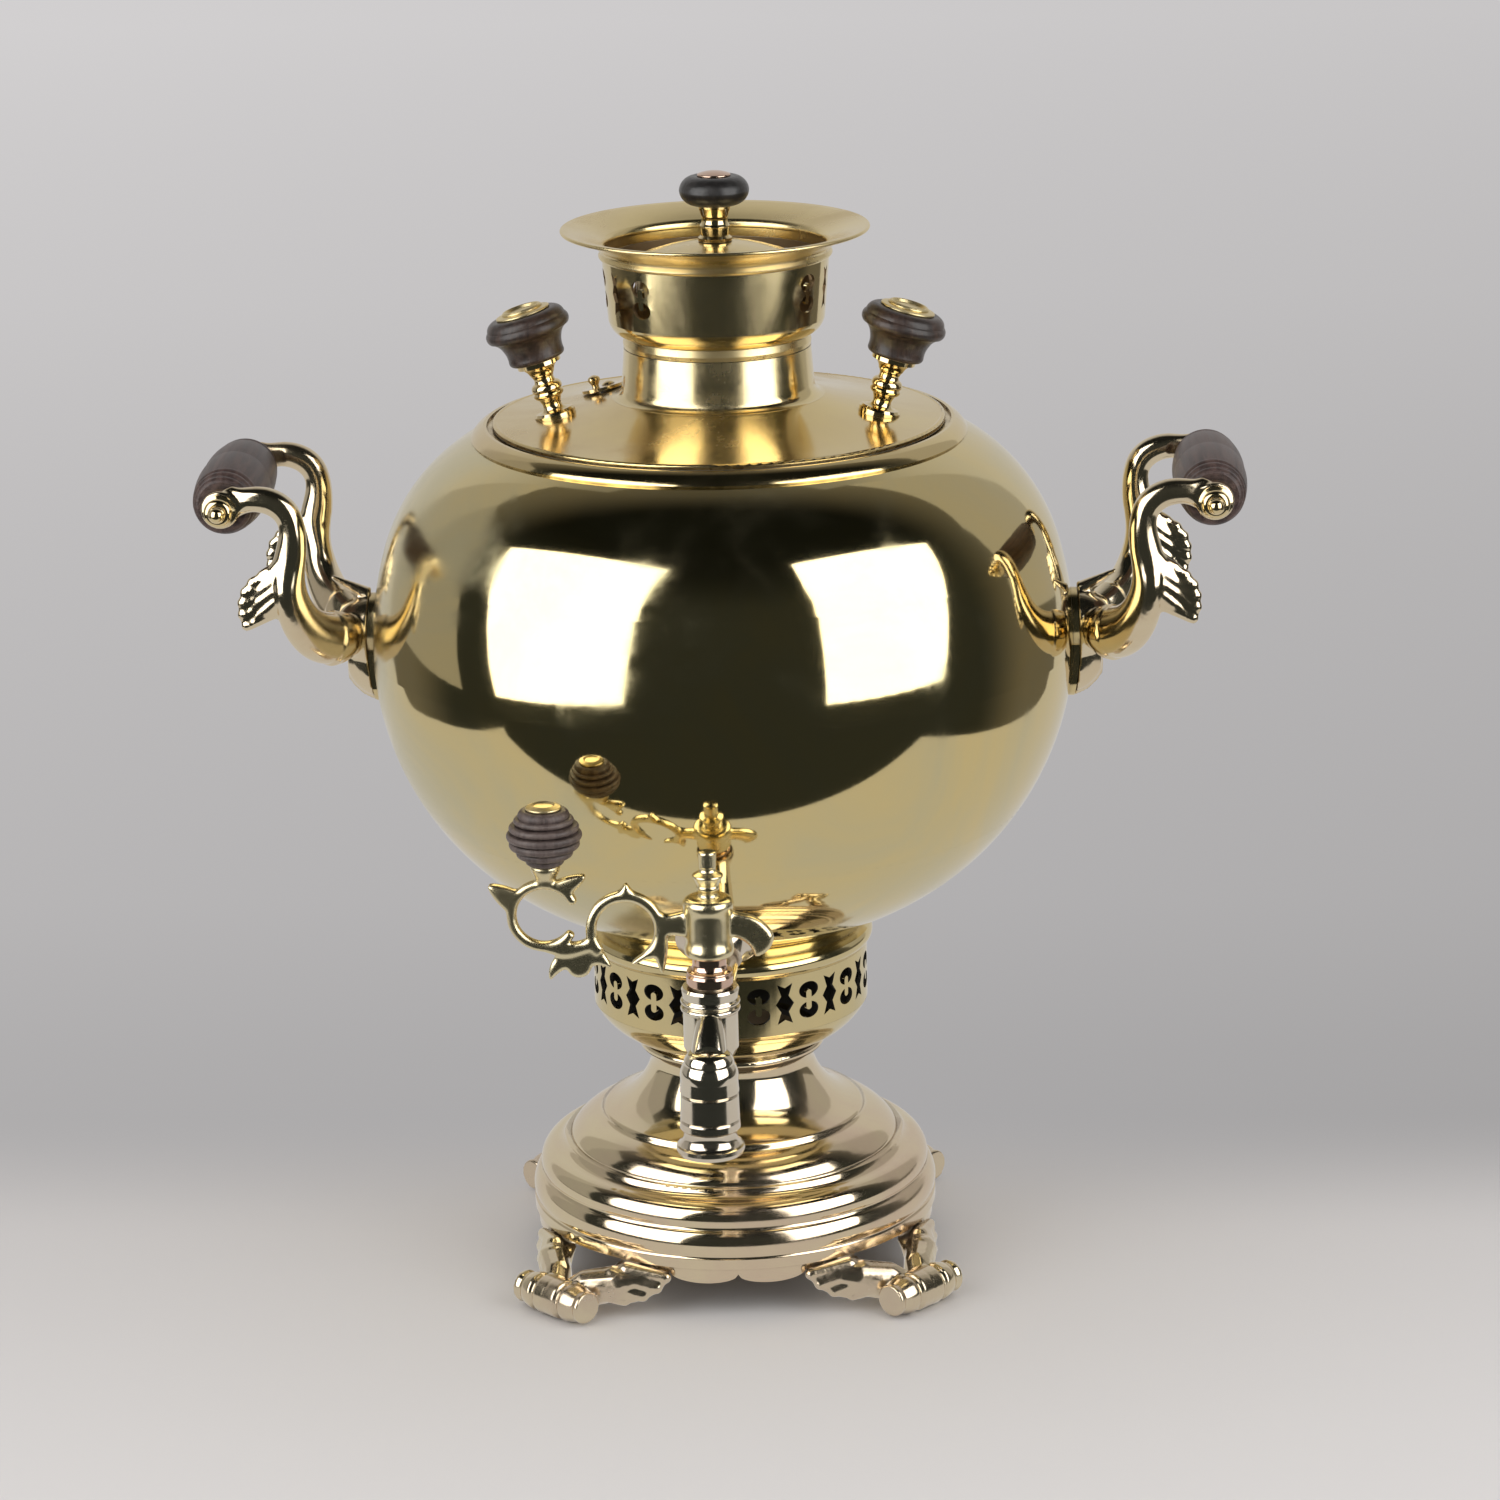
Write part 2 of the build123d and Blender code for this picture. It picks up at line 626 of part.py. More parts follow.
def tap_body():
    """Shank, barrel with a tapered bore, gooseneck and ringed spout in one casting."""
    barrel = turned(
        (0, barrel_bottom_z), (barrel_radius - 1.5, barrel_bottom_z), (barrel_radius, barrel_bottom_z + 3),
        (barrel_radius, barrel_top_z - 9.6), (barrel_radius + 0.5, barrel_top_z - 9.0),
        (barrel_radius + 0.5, barrel_top_z - 7.4, 0.4), (barrel_radius - 0.1, barrel_top_z - 6.8),
        (barrel_radius + 0.5, barrel_top_z - 6.2), (barrel_radius + 0.5, barrel_top_z - 4.8, 0.4),
        (barrel_radius, barrel_top_z - 4.2), (barrel_radius + 0.5, barrel_top_z - 1.0),
        (barrel_radius, barrel_top_z), (0, barrel_top_z),
    )
    casting = Pos(0, -tap_reach, 0) * barrel
    shank_start = foot_radius + 7.0
    shank = Pos(0, -(tap_reach + shank_start) / 2, pipe_z) * Rot(90, 0, 0)
    casting += shank * Cylinder(pipe_radius, tap_reach - shank_start)
    z = spout_bottom_z
    top = spout_top_z - 2.2
    spout = turned(
        (0, z), (11.6, z), (12.4, z + 1.6), (12.2, z + 3.0), (10.2, z + 9.0, -1.4), (11.0, z + 9.8),
        (10.8, z + 12.2),
        (10.3, z + 12.8), (10.8, z + 13.4), (10.5, z + 22.0), (9.9, z + 22.6), (10.7, z + 23.4),
        (10.4, z + 28.0),
        (9.2, z + 34.0, 0.6), (5.4, top - 1.6, 1.0), (0, top),
    )
    casting += Pos(0, -spout_reach, 0) * spout
    front = Plane((0, 0, 0), x_dir=(1, 0, 0), z_dir=(0, -1, 0))
    neck = loft([
        front * Pos(0, pipe_z - 1.5, tap_reach + 3) * Ellipse(4.8, 8.5),
        front * Pos(0, pipe_z - 7.0, tap_reach + 12) * Ellipse(6.0, 8.6),
        front * Pos(0, pipe_z - 12.5, spout_reach + 3) * Ellipse(6.6, 6.6),
    ])
    casting += neck
    bore = turned((0, barrel_bottom_z - 1),
                  (plug_radius(barrel_bottom_z - 1) + bore_gap, barrel_bottom_z - 1),
                  (plug_radius(barrel_top_z + 1) + bore_gap, barrel_top_z + 1), (0, barrel_top_z + 1))
    waterway = Pos(0, -spout_reach / 2, pipe_z) * Rot(90, 0, 0) * Cylinder(water_radius, spout_reach)
    mouth = Pos(0, -spout_reach, 0) * disc(spout_bore, spout_bottom_z - 1, spout_top_z - 9.5)
    z = spout_top_z
    front_way = Plane.YZ * outline((-tap_reach, pipe_z + water_radius), (-(spout_reach - 2), z - 8),
                                   (-(spout_reach + 2), z - 14), (-tap_reach, pipe_z - water_radius))
    casting -= Pos(0, -tap_reach, 0) * bore
    casting -= waterway & (Pos(0, -tap_reach / 2, pipe_z) * Box(60, tap_reach, 60))
    casting -= extrude(front_way, water_radius * 0.8, both=True)
    casting -= mouth
    return casting - ball_block()


def plug_radius(z):
    share = (barrel_top_z - z) / (barrel_top_z - barrel_bottom_z)
    return plug_top_radius - plug_taper * share


def tap_plug():
    """Taper plug with a cross port, a collar seat, a square tang for the key and a threaded tail."""
    top = barrel_top_z + 0.6
    low = barrel_bottom_z
    body = turned(
        (0, low - 6), (2.4, low - 6), (2.4, low), (plug_radius(low), low),
        (plug_radius(top), top), (4.6, top), (4.6, key_arm_z - 12.5), (0, key_arm_z - 12.5),
    )
    square = Pos(0, 0, key_arm_z - 2) * Box(tang, tang, 21.4)
    stud = disc(2.4, key_arm_z + 8, key_arm_z + 13)
    port = Pos(0, 0, pipe_z) * Rot(0, 90, 0) * Cylinder(water_radius, 40)
    return Pos(0, -tap_reach, 0) * (body + square + stud - port)


def plug_tail():
    """Washer and nut under the barrel that hold the plug down."""
    low = barrel_bottom_z
    nut = extrude(Pos(0, 0, low - 5.0) * RegularPolygon(4.4, 6), 3.2)
    washer = disc(6.8, low - 1.7, low - 2 * lift_gap)
    bore = disc(2.4 + solder_gap, low - 8, low + 2)
    return Pos(0, -tap_reach, 0) * (nut + washer - bore)


def plug_collar():
    """Copper-coloured packing collar between the barrel and the key."""
    z = barrel_top_z + 0.9
    collar = turned((4.6 + bore_gap, z), (8.4, z), (8.6, z + 3.2), (8.0, z + 4.2), (8.0, z + 5.2, 0.3),
                    (6.2, z + 8.2, -0.6), (6.2, z + 10.2), (4.6 + bore_gap, z + 10.2))
    return Pos(0, -tap_reach, 0) * collar


def leaf(root_a, tip, root_b, bow):
    """Pointed leaf on a root, with both sides bowed out by the same amount; corners run counterclockwise."""
    return outline(root_a, (*tip, bow), (*root_b, bow))


def key_branch():
    """Scrollwork arm of the key with its hub, drawn in the (x, height) plane through the plug's axis."""
    z = key_arm_z
    open_right = make_face(Polyline((0, 0), (30, 12.4), (30, -20), close=True))
    outer_scroll = Pos(-59.3, z + 3) * (Circle(13.2) - Circle(10.3) - open_right)
    open_below = make_face(Polyline((0, 0), (22, -30), (-34, -30), close=True))
    inner_scroll = Pos(-30, z - 2.4) * (Circle(14.2) - Circle(10.9) - open_below)
    work = outer_scroll + inner_scroll
    work += outline((-60, z - 10.0), (-50, z - 11.8, 0.8), (-43, z - 9.5), (-41, z - 4.0),
                    (-50, z - 7.6, -1.0), (-56, z - 8.2))
    work += outline((-18.5, z - 6.4), (-12, z - 4.4, -0.8), (-5, z - 5.2), (-5, z + 4.8), (-12, z + 3.4),
                    (-19, z + 4.4, -1.0))
    work += leaf((-69, z + 12), (-79.3, z + 14.6), (-72.5, z + 5), 0.8)
    work += leaf((-50.5, z + 11), (-43.6, z + 18.2), (-55, z + 15.4), 0.8)
    work += leaf((-48.2, z + 8.6), (-47.6, z + 5.4), (-50.5, z + 12.0), 0.3)
    work += leaf((-22, z + 8.4), (-29.4, z + 15.4), (-37, z + 9.6), -1.2)
    work += leaf((-19.4, z - 8.0), (-17.0, z - 19.0), (-15.4, z - 5.0), 0.8)
    work += leaf((-22.6, z - 11.6), (-28.4, z - 16.0), (-18.6, z - 9.6), 0.6)
    work += outline((5, z - 5.0), (13, z - 6.8, -0.8), (16.5, z - 12.6, -0.8), (23, z - 4.4, 2.2),
                    (12, z + 3.0, 1.6),
                    (5, z + 4.8))
    hanging = outline((-55.6, z - 13.0), (-57.8, z - 22.0, 1.2), (-51.2, z - 16.8, -0.6),
                      (-47.5, z - 20.6, 1.2),
                      (-42.8, z - 16.0, 1.6), (-35.4, z - 17.2, -0.6), (-41, z - 8.0, 0.8), (-52, z - 9.8))
    place = Plane((0, -tap_reach, 0), x_dir=(1, 0, 0), z_dir=(0, -1, 0))
    branch = extrude(place * work, branch_thick / 2, both=True)
    branch += extrude(place * hanging, branch_thick / 4, both=True)
    hub = turned((0, z - 12.4), (8.0, z - 12.4), (8.9, z - 11.4), (8.9, z - 9.0), (8.2, z - 8.2),
                 (7.9, z - 6.4),
                 (7.9, z + 4.6), (8.8, z + 5.4), (9.2, z + 7.6), (7.0, z + 9.6, 0.5), (0, z + 9.6))
    stem = turned((0, 0), (3.4, 0), (3.8, 3.4, -0.5), (5.4, 6.6), (5.4, 8.0), (0, 8.0))
    branch += Pos(0, -tap_reach, 0) * hub + Pos(key_knob_x, -tap_reach, key_arm_z + 14.4) * stem
    square = Pos(0, -tap_reach, z) * Box(tang + 2 * bore_gap, tang + 2 * bore_gap, 60)
    return branch - square


def key_finial():
    """Turned finial that screws the key down on the plug."""
    z = key_arm_z + 9.6 + solder_gap
    finial = turned((2.4 + bore_gap, z), (4.6, z), (3.6, z + 2.4, -0.6), (4.0, z + 4.6, 0.4), (5.3, z + 7.4),
                    (5.3, z + 8.6, 0.3), (3.9, z + 9.4), (3.2, z + 11.6, -0.5), (3.3, z + 16.0),
                    (2.4, z + 17.4, 0.4),
                    (0, z + 17.9, dome(2.4, 0.5)), (0, z + 5.0), (2.4 + bore_gap, z + 4.0))
    return Pos(0, -tap_reach, 0) * finial


def key_knob():
    """Wooden knob of the key: a bulb turned with rings, on a collar."""
    r = key_knob_radius
    z = key_arm_z + 22.4 + solder_gap
    corners = [(0, z), (6.2, z), (7.0, z + 1.8, 0.3), (6.6, z + 2.4)]
    for inset, bottom, top in ((3.4, 2.8, 5.6), (0.9, 6.0, 8.8), (0, 9.2, 12.0), (1.0, 12.4, 14.8),
                               (2.8, 15.2, 17.4)):
        corners += [(r - inset - 0.9, z + bottom), (r - inset - 0.3, z + top, 0.9),
                    (r - inset - 1.3, z + top + 0.2)]
    corners += [(7.6, z + 20.4, 0.7), (0, z + 20.4)]
    return Pos(key_knob_x, -tap_reach, 0) * turned(*corners)


def key_knob_cap():
    z = key_arm_z + 42.8 + 2 * solder_gap
    cap = turned((0, z), (6.2, z), (6.2, z + 1.0, 0.3), (4.2, z + 1.8), (3.4, z + 1.2), (0, z + 1.4))
    return Pos(key_knob_x, -tap_reach, 0) * cap


# Lid


lid_waist = (lid_collar_radius + 1.1, seat_z - lid_collar_height)
lid_flare = (lid_collar_radius + 5.0, seat_z - lid_collar_height - 4.4)
lid_brim = (lid_radius - 1.4, lid_z)


def lid_surface(radius):
    """Height and slope of the lid's upper side at a radius."""
    edge = SagittaArc(lid_flare, lid_brim, -1.2)
    cut = edge.intersect(Line((radius, 0), (radius, 2 * lid_z)))
    point = cut.vertices()[0] if hasattr(cut, "vertices") else cut
    share = edge.param_at_point(Vector(point.X, point.Y, 0))
    heading = edge % share
    return point.Y, math.degrees(math.atan2(-heading.Y, heading.X))


def lid_block():
    """Everything below the lid's upper side, used to cut what is fitted to it."""
    low = lid_z - 30
    return turned((lid_brim[0], low), lid_brim, (*lid_flare, -1.2), (*lid_waist, -1.1),
                  (lid_collar_radius, seat_z),
                  (lid_collar_radius, low))


def knob_place(sign):
    height, _ = lid_surface(math.hypot(knob_x, knob_y))
    return Pos(sign * knob_x, knob_y, height) * Rot(0, sign * knob_tilt, 0)


def vent_place():
    radius = lid_flare[0] + vent_step
    height, slope = lid_surface(radius)
    return Rot(0, 0, vent_angle) * Pos(radius, 0, height) * Rot(0, slope, 0)


def lid_neck():
    """Flared collar of the lid, that stands round the flue and carries the crown."""
    return turned(
        (lid_flare[0] - 0.4, lid_flare[1] - sheet + solder_gap, 1.1),
        (lid_flare[0], lid_flare[1] + solder_gap), (*lid_waist, -1.1), (lid_collar_radius, seat_z),
        (lid_collar_radius - sheet, seat_z), (lid_waist[0] - sheet, lid_waist[1]),
    )


def lid():
    plate = turned(
        (lid_brim[0], lid_z - sheet, 1.2), lid_brim, (*lid_flare, -1.2),
        (lid_flare[0] - 0.4, lid_flare[1] - sheet),
    )
    edge_bottom = lid_z - lid_edge
    plate += turned(
        (lid_radius - 2.6, edge_bottom), (lid_radius - 0.6, edge_bottom),
        (lid_radius, edge_bottom + 0.6, 0.2),
        (lid_radius, lid_z - 0.6), (lid_brim[0], lid_z + 0.2, 0.3), (lid_radius - 2.6, lid_z - 0.2),
    )
    skirt = ledge_radius - 1.0
    plate += ring(skirt - sheet, skirt, lid_z - 9.0, lid_z - 0.4)
    for sign in (-1, 1):
        plate -= knob_place(sign) * Cylinder(knob_stud_radius + stud_gap, 20)
    rivet = vent_place()
    plate -= rivet * Cylinder(1.5, 12)
    plate -= rivet * Pos(0, 2 * vent_offset, 0) * Cylinder(vent_hole_radius, 12)
    return plate


def knob_stem(sign):
    """Turned brass baluster with a threaded stud at each end."""
    r = knob_stud_radius
    baluster = turned(
        (0, -3.5), (7.8, -3.5), (7.8, 1.4), (7.0, 2.4), (3.8, 6.0, -1.6), (4.4, 7.4), (5.9, 9.4, 0.4),
        (5.4, 10.2),
        (5.9, 11.0), (4.2, 13.6, 0.6), (4.8, 17.0, -0.6), (8.4, 20.6, -0.8), (8.5, 22.4), (0, 22.4),
    )
    place = knob_place(sign)
    studs = place * disc(r, -6.5, 26.0)
    return place * baluster - lid_block() + studs


def knob_nut(sign):
    nut = Pos(0, 0, -5.2) * extrude(RegularPolygon(4.2, 6), 2.4)
    return knob_place(sign) * (nut - Cylinder(knob_stud_radius + bore_gap, 30))


def knob_wood(sign):
    """Wooden knob, narrow at the stem and widest near the top."""
    z = 22.4 + solder_gap
    wood = turned((0, z), (9.8, z), (10.8, z + 1.6, 0.3), (11.6, z + 7.0, -0.4), (15.4, z + 10.8, -0.6),
                  (15.2, z + 15.0, 0.9), (11.6, z + 18.4, 0.9), (0, z + 18.4))
    hole = disc(knob_stud_radius + bore_gap, 0, 26.2)
    return knob_place(sign) * (wood - hole)


def knob_cap(sign):
    z = 40.8 + 2 * solder_gap
    cap = turned((0, z), (10.2, z), (10.2, z + 0.8, 0.2), (7.8, z + 1.2), (7.4, z + 2.0, 0.2),
                 (6.4, z + 2.0, 0.3), (5.8, z + 1.2),
                 (0, z + 1.6))
    return knob_place(sign) * cap


def vent_cover():
    """Swivel cover over the steam hole, turning on its rivet."""
    gap = vent_gap
    plate = Pos(0, vent_offset, 0) * disc(vent_radius, gap, gap + 1.2) - Cylinder(1.2 + bore_gap, 12)
    knob = Pos(0, 2 * vent_offset, gap) * turned((0, 0.8), (2.0, 0.8), (1.4, 2.6, -0.3), (2.4, 4.4),
                                                 (1.4, 6.0, 0.4), (0, 6.4, dome(1.4, 0.4)))
    return vent_place() * (plate + knob)


def vent_rivet():
    gap = vent_gap
    rivet = turned((0, -3.0), (2.4, -3.0), (2.4, -sheet - 0.4), (1.2, -sheet - 0.4), (1.2, gap + 1.4),
                   (2.6, gap + 1.4),
                   (0, gap + 2.6, dome(2.6, 1.2)))
    return vent_place() * rivet


# Crown


def crown_gallery():
    """Pierced wall and the bowl under it."""
    wall_z = lip_z - 11.4
    foot_z = wall_z - crown_wall_height
    neck_z = seat_z + 4.6
    wall = turned(
        (lid_collar_radius - 0.1, neck_z), (crown_foot_radius, foot_z, 1.2), (crown_wall_radius, wall_z),
        (crown_wall_radius - sheet, wall_z), (crown_foot_radius - sheet, foot_z + 0.4),
        (lid_collar_radius - 0.1 - sheet, neck_z + 0.8, -1.2),
    )
    middle = lip_z - 11.3 - crown_wall_height * 0.46
    step = 21.0
    eight, tall_star = piercers(crown_wall_radius, crown_wall_height * 0.7, 5.6)
    cutters = []
    for side_angle in (90, -90):
        for count in range(-2, 3):
            place = around(crown_turn + side_angle + count * step, 0, middle)
            motif = eight if count % 2 == 0 else [tall_star]
            cutters += [place * piece for piece in motif]
    return wall.cut(*cutters)


def crown_flange():
    """Flared dish for the teapot, with a rolled lip and a bead where it joins the wall."""
    top_z = lip_z - 11.3 + solder_gap
    r = crown_wall_radius
    return turned(
        (r - sheet, top_z), (r + 0.2, top_z), (r + 1.2, top_z + 1.4, 0.4), (r + 0.6, top_z + 2.6),
        (r + 2.0, top_z + 4.4, -0.4),
        (crown_lip_radius - 4.0, lip_z - 2.6, -0.8), (crown_lip_radius, lip_z - 1.4),
        (crown_lip_radius, lip_z, 0.65),
        (crown_lip_radius - 2.0, lip_z - 0.2), (crown_well_radius, lip_z - 4.8, 0.5),
        (r - sheet, lip_z - 8.0, 0.6),
    )


def crown_seat():
    """Ring that the crown stands on: it slips over the flue and lies on the lid's collar."""
    inner = flue_radius + lift_gap
    outer = lid_collar_radius
    bottom = seat_z + lift_gap
    return turned((inner, bottom), (outer, bottom), (outer + 0.2, bottom + 1.6), (outer - 0.1, bottom + 4.2),
                  (inner, bottom + 4.2))


# Flue cap


def cap_dome():
    """Bell that closes the flue: a flange on the flue's edge, an upright wall and a domed top."""
    z = cap_z
    r = cap_radius
    shell = turned(
        (flue_radius + 1.0, z), (flue_radius + 1.0, z + sheet), (r + 0.6, z + sheet), (r, z + 3.0, -0.5),
        (r, z + cap_top - 8.5), (r - 3.0, z + cap_top - 5.0, 0.9), (0, z + cap_top, dome(r - 3.0, 5.0)),
        (0, z + cap_top - sheet),
        (r - 4.0, z + cap_top - 5.0 - sheet, -dome(r - 4.0, 5.0)), (r - sheet, z + cap_top - 9.6, -0.7),
        (r - sheet, z - 4.0), (r, z - 4.0),
        (r, z),
    )
    return shell - disc(1.7, z, z + 2 * cap_top)


def cap_stem():
    z = cap_z + cap_top
    stem = turned((0, z - 4.0), (1.6, z - 4.0), (1.6, z + solder_gap), (6.4, z + solder_gap),
                  (6.4, z + 1.2), (5.4, z + 2.2),
                  (5.2, z + 5.0), (5.7, z + 5.8, 0.2), (5.2, z + 6.6), (5.0, z + 9.4, -0.2),
                  (6.0, z + 12.4), (6.0, z + 13.6),
                  (1.6, z + 13.6), (1.6, z + 24.6), (0, z + 24.6))
    return stem


def cap_knob():
    z = cap_z + cap_top + 13.6 + solder_gap
    r = 13.2
    knob = turned((0, z), (6.6, z), (r, z + 5.4, 1.8), (6.4, z + 10.8, 2.0), (0, z + 10.8))
    return knob - disc(1.6 + bore_gap, z - 1, z + 12)


def cap_rivet():
    z = cap_z + cap_top + 13.6 + 10.8 + 2 * solder_gap
    rivet = turned((1.6 + bore_gap, z), (6.2, z), (6.0, z + 0.8, 0.2), (0, z + 1.9, dome(6.0, 1.1)),
                   (0, z + 0.4), (1.6 + bore_gap, z + 0.4))
    return rivet


# Write every piece

base_place = Rot(0, 0, base_turn)
write("pedestal", base_place * pedestal())
for name, diagonal in (("front_left", 225), ("front_right", 315), ("back_right", 45), ("back_left", 135)):
    write(f"foot_{name}", base_place * Rot(0, 0, diagonal) * foot())
write("gallery_bowl", gallery_bowl())
write("gallery_band", gallery_band())
write("ball_collar", ball_collar())
write("ball_bottom", ball_bottom())
write("ball_belly", ball_belly())
write("ball_side", ball_side())
write("ball_shoulder", ball_shoulder())
write("boiler_floor", boiler_floor())
write("firebox_cone", firebox_cone())
write("flue_tube", flue_tube())
write("fire_grate", fire_grate())
write("rim_ring", rim_ring())

for side_name, flip in (("right", False), ("left", True)):
    pieces = {
        "handle_plate": [handle_plate()],
        "handle_bracket": [handle_bracket()],
        "grip": [grip()],
        "grip_rod": [grip_rod()],
        "grip_nuts": list(grip_nuts()),
    }
    for piece_name, solids in pieces.items():
        placed = [mirror(solid, Plane.YZ) for solid in solids] if flip else solids
        write(f"{piece_name}_{side_name}", *placed)

write("tap_escutcheon", tap_escutcheon())
write("tap_body", tap_body())
write("tap_plug", tap_plug())
write("plug_tail", plug_tail())
write("plug_collar", plug_collar())
write("key_branch", key_branch())
write("key_finial", key_finial())
write("key_knob", key_knob())
write("key_knob_cap", key_knob_cap())

write("lid", lid())
write("lid_neck", lid_neck())
for side_name, sign in (("right", 1), ("left", -1)):
    write(f"lid_knob_stem_{side_name}", knob_stem(sign))
    write(f"lid_knob_nut_{side_name}", knob_nut(sign))
    write(f"lid_knob_{side_name}", knob_wood(sign))
    write(f"lid_knob_cap_{side_name}", knob_cap(sign))
write("vent_rivet", vent_rivet())
write("vent_cover", vent_cover())

write("crown_seat", crown_seat())
write("crown_gallery", crown_gallery())
write("crown_flange", crown_flange())
write("cap_dome", cap_dome())
write("cap_stem", cap_stem())
write("cap_knob", cap_knob())
write("cap_rivet", cap_rivet())
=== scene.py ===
import math

import bmesh
import bpy
from mathutils import Matrix, Vector


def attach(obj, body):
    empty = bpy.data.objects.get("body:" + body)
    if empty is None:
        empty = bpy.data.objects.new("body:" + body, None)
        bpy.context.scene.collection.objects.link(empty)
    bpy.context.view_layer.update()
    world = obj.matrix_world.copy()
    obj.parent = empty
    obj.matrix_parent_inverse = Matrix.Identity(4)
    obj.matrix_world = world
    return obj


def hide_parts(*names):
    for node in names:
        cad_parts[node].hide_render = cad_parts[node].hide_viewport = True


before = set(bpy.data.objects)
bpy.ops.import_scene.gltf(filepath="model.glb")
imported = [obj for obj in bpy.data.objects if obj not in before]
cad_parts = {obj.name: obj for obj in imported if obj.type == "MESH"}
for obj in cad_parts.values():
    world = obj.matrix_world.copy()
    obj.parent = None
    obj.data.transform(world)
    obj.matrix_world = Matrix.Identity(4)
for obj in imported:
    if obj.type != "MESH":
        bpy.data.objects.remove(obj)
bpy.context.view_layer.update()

# The room: one pale floor under everything, with painted shade: its colour turns grey where the light falls
# off behind the samovar and to the right.
# Only the floor's colour and a grey sky show to the camera, so the background stays pale from every side.

floor_half_width = 14.0
floor_colour = (0.68, 0.665, 0.66, 1)
fall_start = 0.0            # depths over which the lit floor turns into the grey one
fall_full = 0.15
far_depth = 4.0
# painted shade: each pair is a depth behind the samovar's axis and how grey the floor is painted there
painted_falloff_greys = (
    (0.03, 0.395), (0.22, 0.410), (0.44, 0.448), (0.80, 0.470), (1.3, 0.500), (2.0, 0.545), (3.7, 0.604))
lilac = (1.0, 0.975, 0.98)              # tint of those greys
painted_side_shade = 0.35            # painted shade: how much darker the floor is where it lies as far to the right as away
side_distance = 1.8         # how far in front of the samovar the eye is taken to be for that
least_away = 0.8
side_darkest = 0.88
side_lightest = 1.12
sky_colour = (0.63, 0.615, 0.62, 1)
studio_dark = (0.030, 0.033, 0.030, 1)
studio_top = (0.006, 0.007, 0.006, 1)
studio_behind = (0.15, 0.14, 0.12, 1)
overhead_start = 0.35       # heights and depths of a direction, 1 being straight up or straight back
overhead_full = 0.85
behind_start = 0.05
behind_full = 0.50


def stage_plane(name, points, faces=None):
    """Part of the studio: one face round all the points, unless its faces are given."""
    mesh = bpy.data.meshes.new(name)
    mesh.from_pydata(points, [], faces or [tuple(range(len(points)))])
    plane = bpy.data.objects.new(name, mesh)
    bpy.context.scene.collection.objects.link(plane)
    return plane


def add_node(tree, kind, inputs=None, **settings):
    """New node with its settings made; an input that is given a socket is linked, and any other is set."""
    node = tree.nodes.new(kind)
    for name, value in settings.items():
        setattr(node, name, value)
    for key, value in (inputs or {}).items():
        if isinstance(value, bpy.types.NodeSocket):
            tree.links.new(value, node.inputs[key])
        else:
            node.inputs[key].default_value = value
    return node


def math_node(tree, operation, first, second, third=0.0, clamp=False):
    node = add_node(tree, "ShaderNodeMath", {0: first, 1: second, 2: third}, operation=operation,
                    use_clamp=clamp)
    return node.outputs["Value"]


def map_range(tree, value, low, high, kind="SMOOTHSTEP"):
    node = add_node(tree, "ShaderNodeMapRange", {"Value": value, "From Min": low, "From Max": high},
                    interpolation_type=kind)
    return node.outputs["Result"]


def new_material(name):
    material = bpy.data.materials.new(name)
    material.use_nodes = True
    tree = material.node_tree
    tree.nodes.clear()
    return material, tree, tree.nodes.new("ShaderNodeOutputMaterial")


def floor_material():
    material, tree, output = new_material("studio_floor")
    place = add_node(tree, "ShaderNodeTexCoord")
    split = add_node(tree, "ShaderNodeSeparateXYZ", {0: place.outputs["Object"]})
    depth = map_range(tree, split.outputs["Y"], 0.0, far_depth, "LINEAR")
    shade = add_node(tree, "ShaderNodeValToRGB", {"Fac": depth})
    ramp = shade.color_ramp.elements
    while len(ramp) < len(painted_falloff_greys):
        ramp.new(0.5)
    for stop, (distance, grey) in zip(ramp, painted_falloff_greys):
        stop.position = distance / far_depth
        stop.color = (grey * lilac[0], grey * lilac[1], grey * lilac[2], 1)
    away = math_node(tree, "MAXIMUM", math_node(tree, "ADD", split.outputs["Y"], side_distance), least_away)
    aside = math_node(tree, "DIVIDE", split.outputs["X"], away)
    side_slope = math_node(tree, "MULTIPLY_ADD", aside, -painted_side_shade, 1.0)
    side_floor = math_node(tree, "MAXIMUM", side_slope, side_darkest)
    side_light = math_node(tree, "MINIMUM", side_floor, side_lightest)
    # painted shade: the floor's colour as the camera sees it, greyed with depth and towards the right
    glow = add_node(tree, "ShaderNodeEmission", {"Color": shade.outputs["Color"], "Strength": side_light})
    matt = add_node(tree, "ShaderNodeBsdfDiffuse", {"Color": floor_colour})
    behind = map_range(tree, split.outputs["Y"], fall_start, fall_full)
    seen = add_node(tree, "ShaderNodeLightPath")
    amount = math_node(tree, "MULTIPLY", behind, seen.outputs["Is Camera Ray"])
    mix = add_node(tree, "ShaderNodeMixShader",
                   {0: amount, 1: matt.outputs["BSDF"], 2: glow.outputs["Emission"]})
    tree.links.new(mix.outputs["Shader"], output.inputs["Surface"])
    return material


half = floor_half_width
floor = stage_plane("floor", [(-half, -half, 0), (half, -half, 0), (half, half, 0), (-half, half, 0)])
floor.data.materials.append(floor_material())
floor.visible_glossy = False


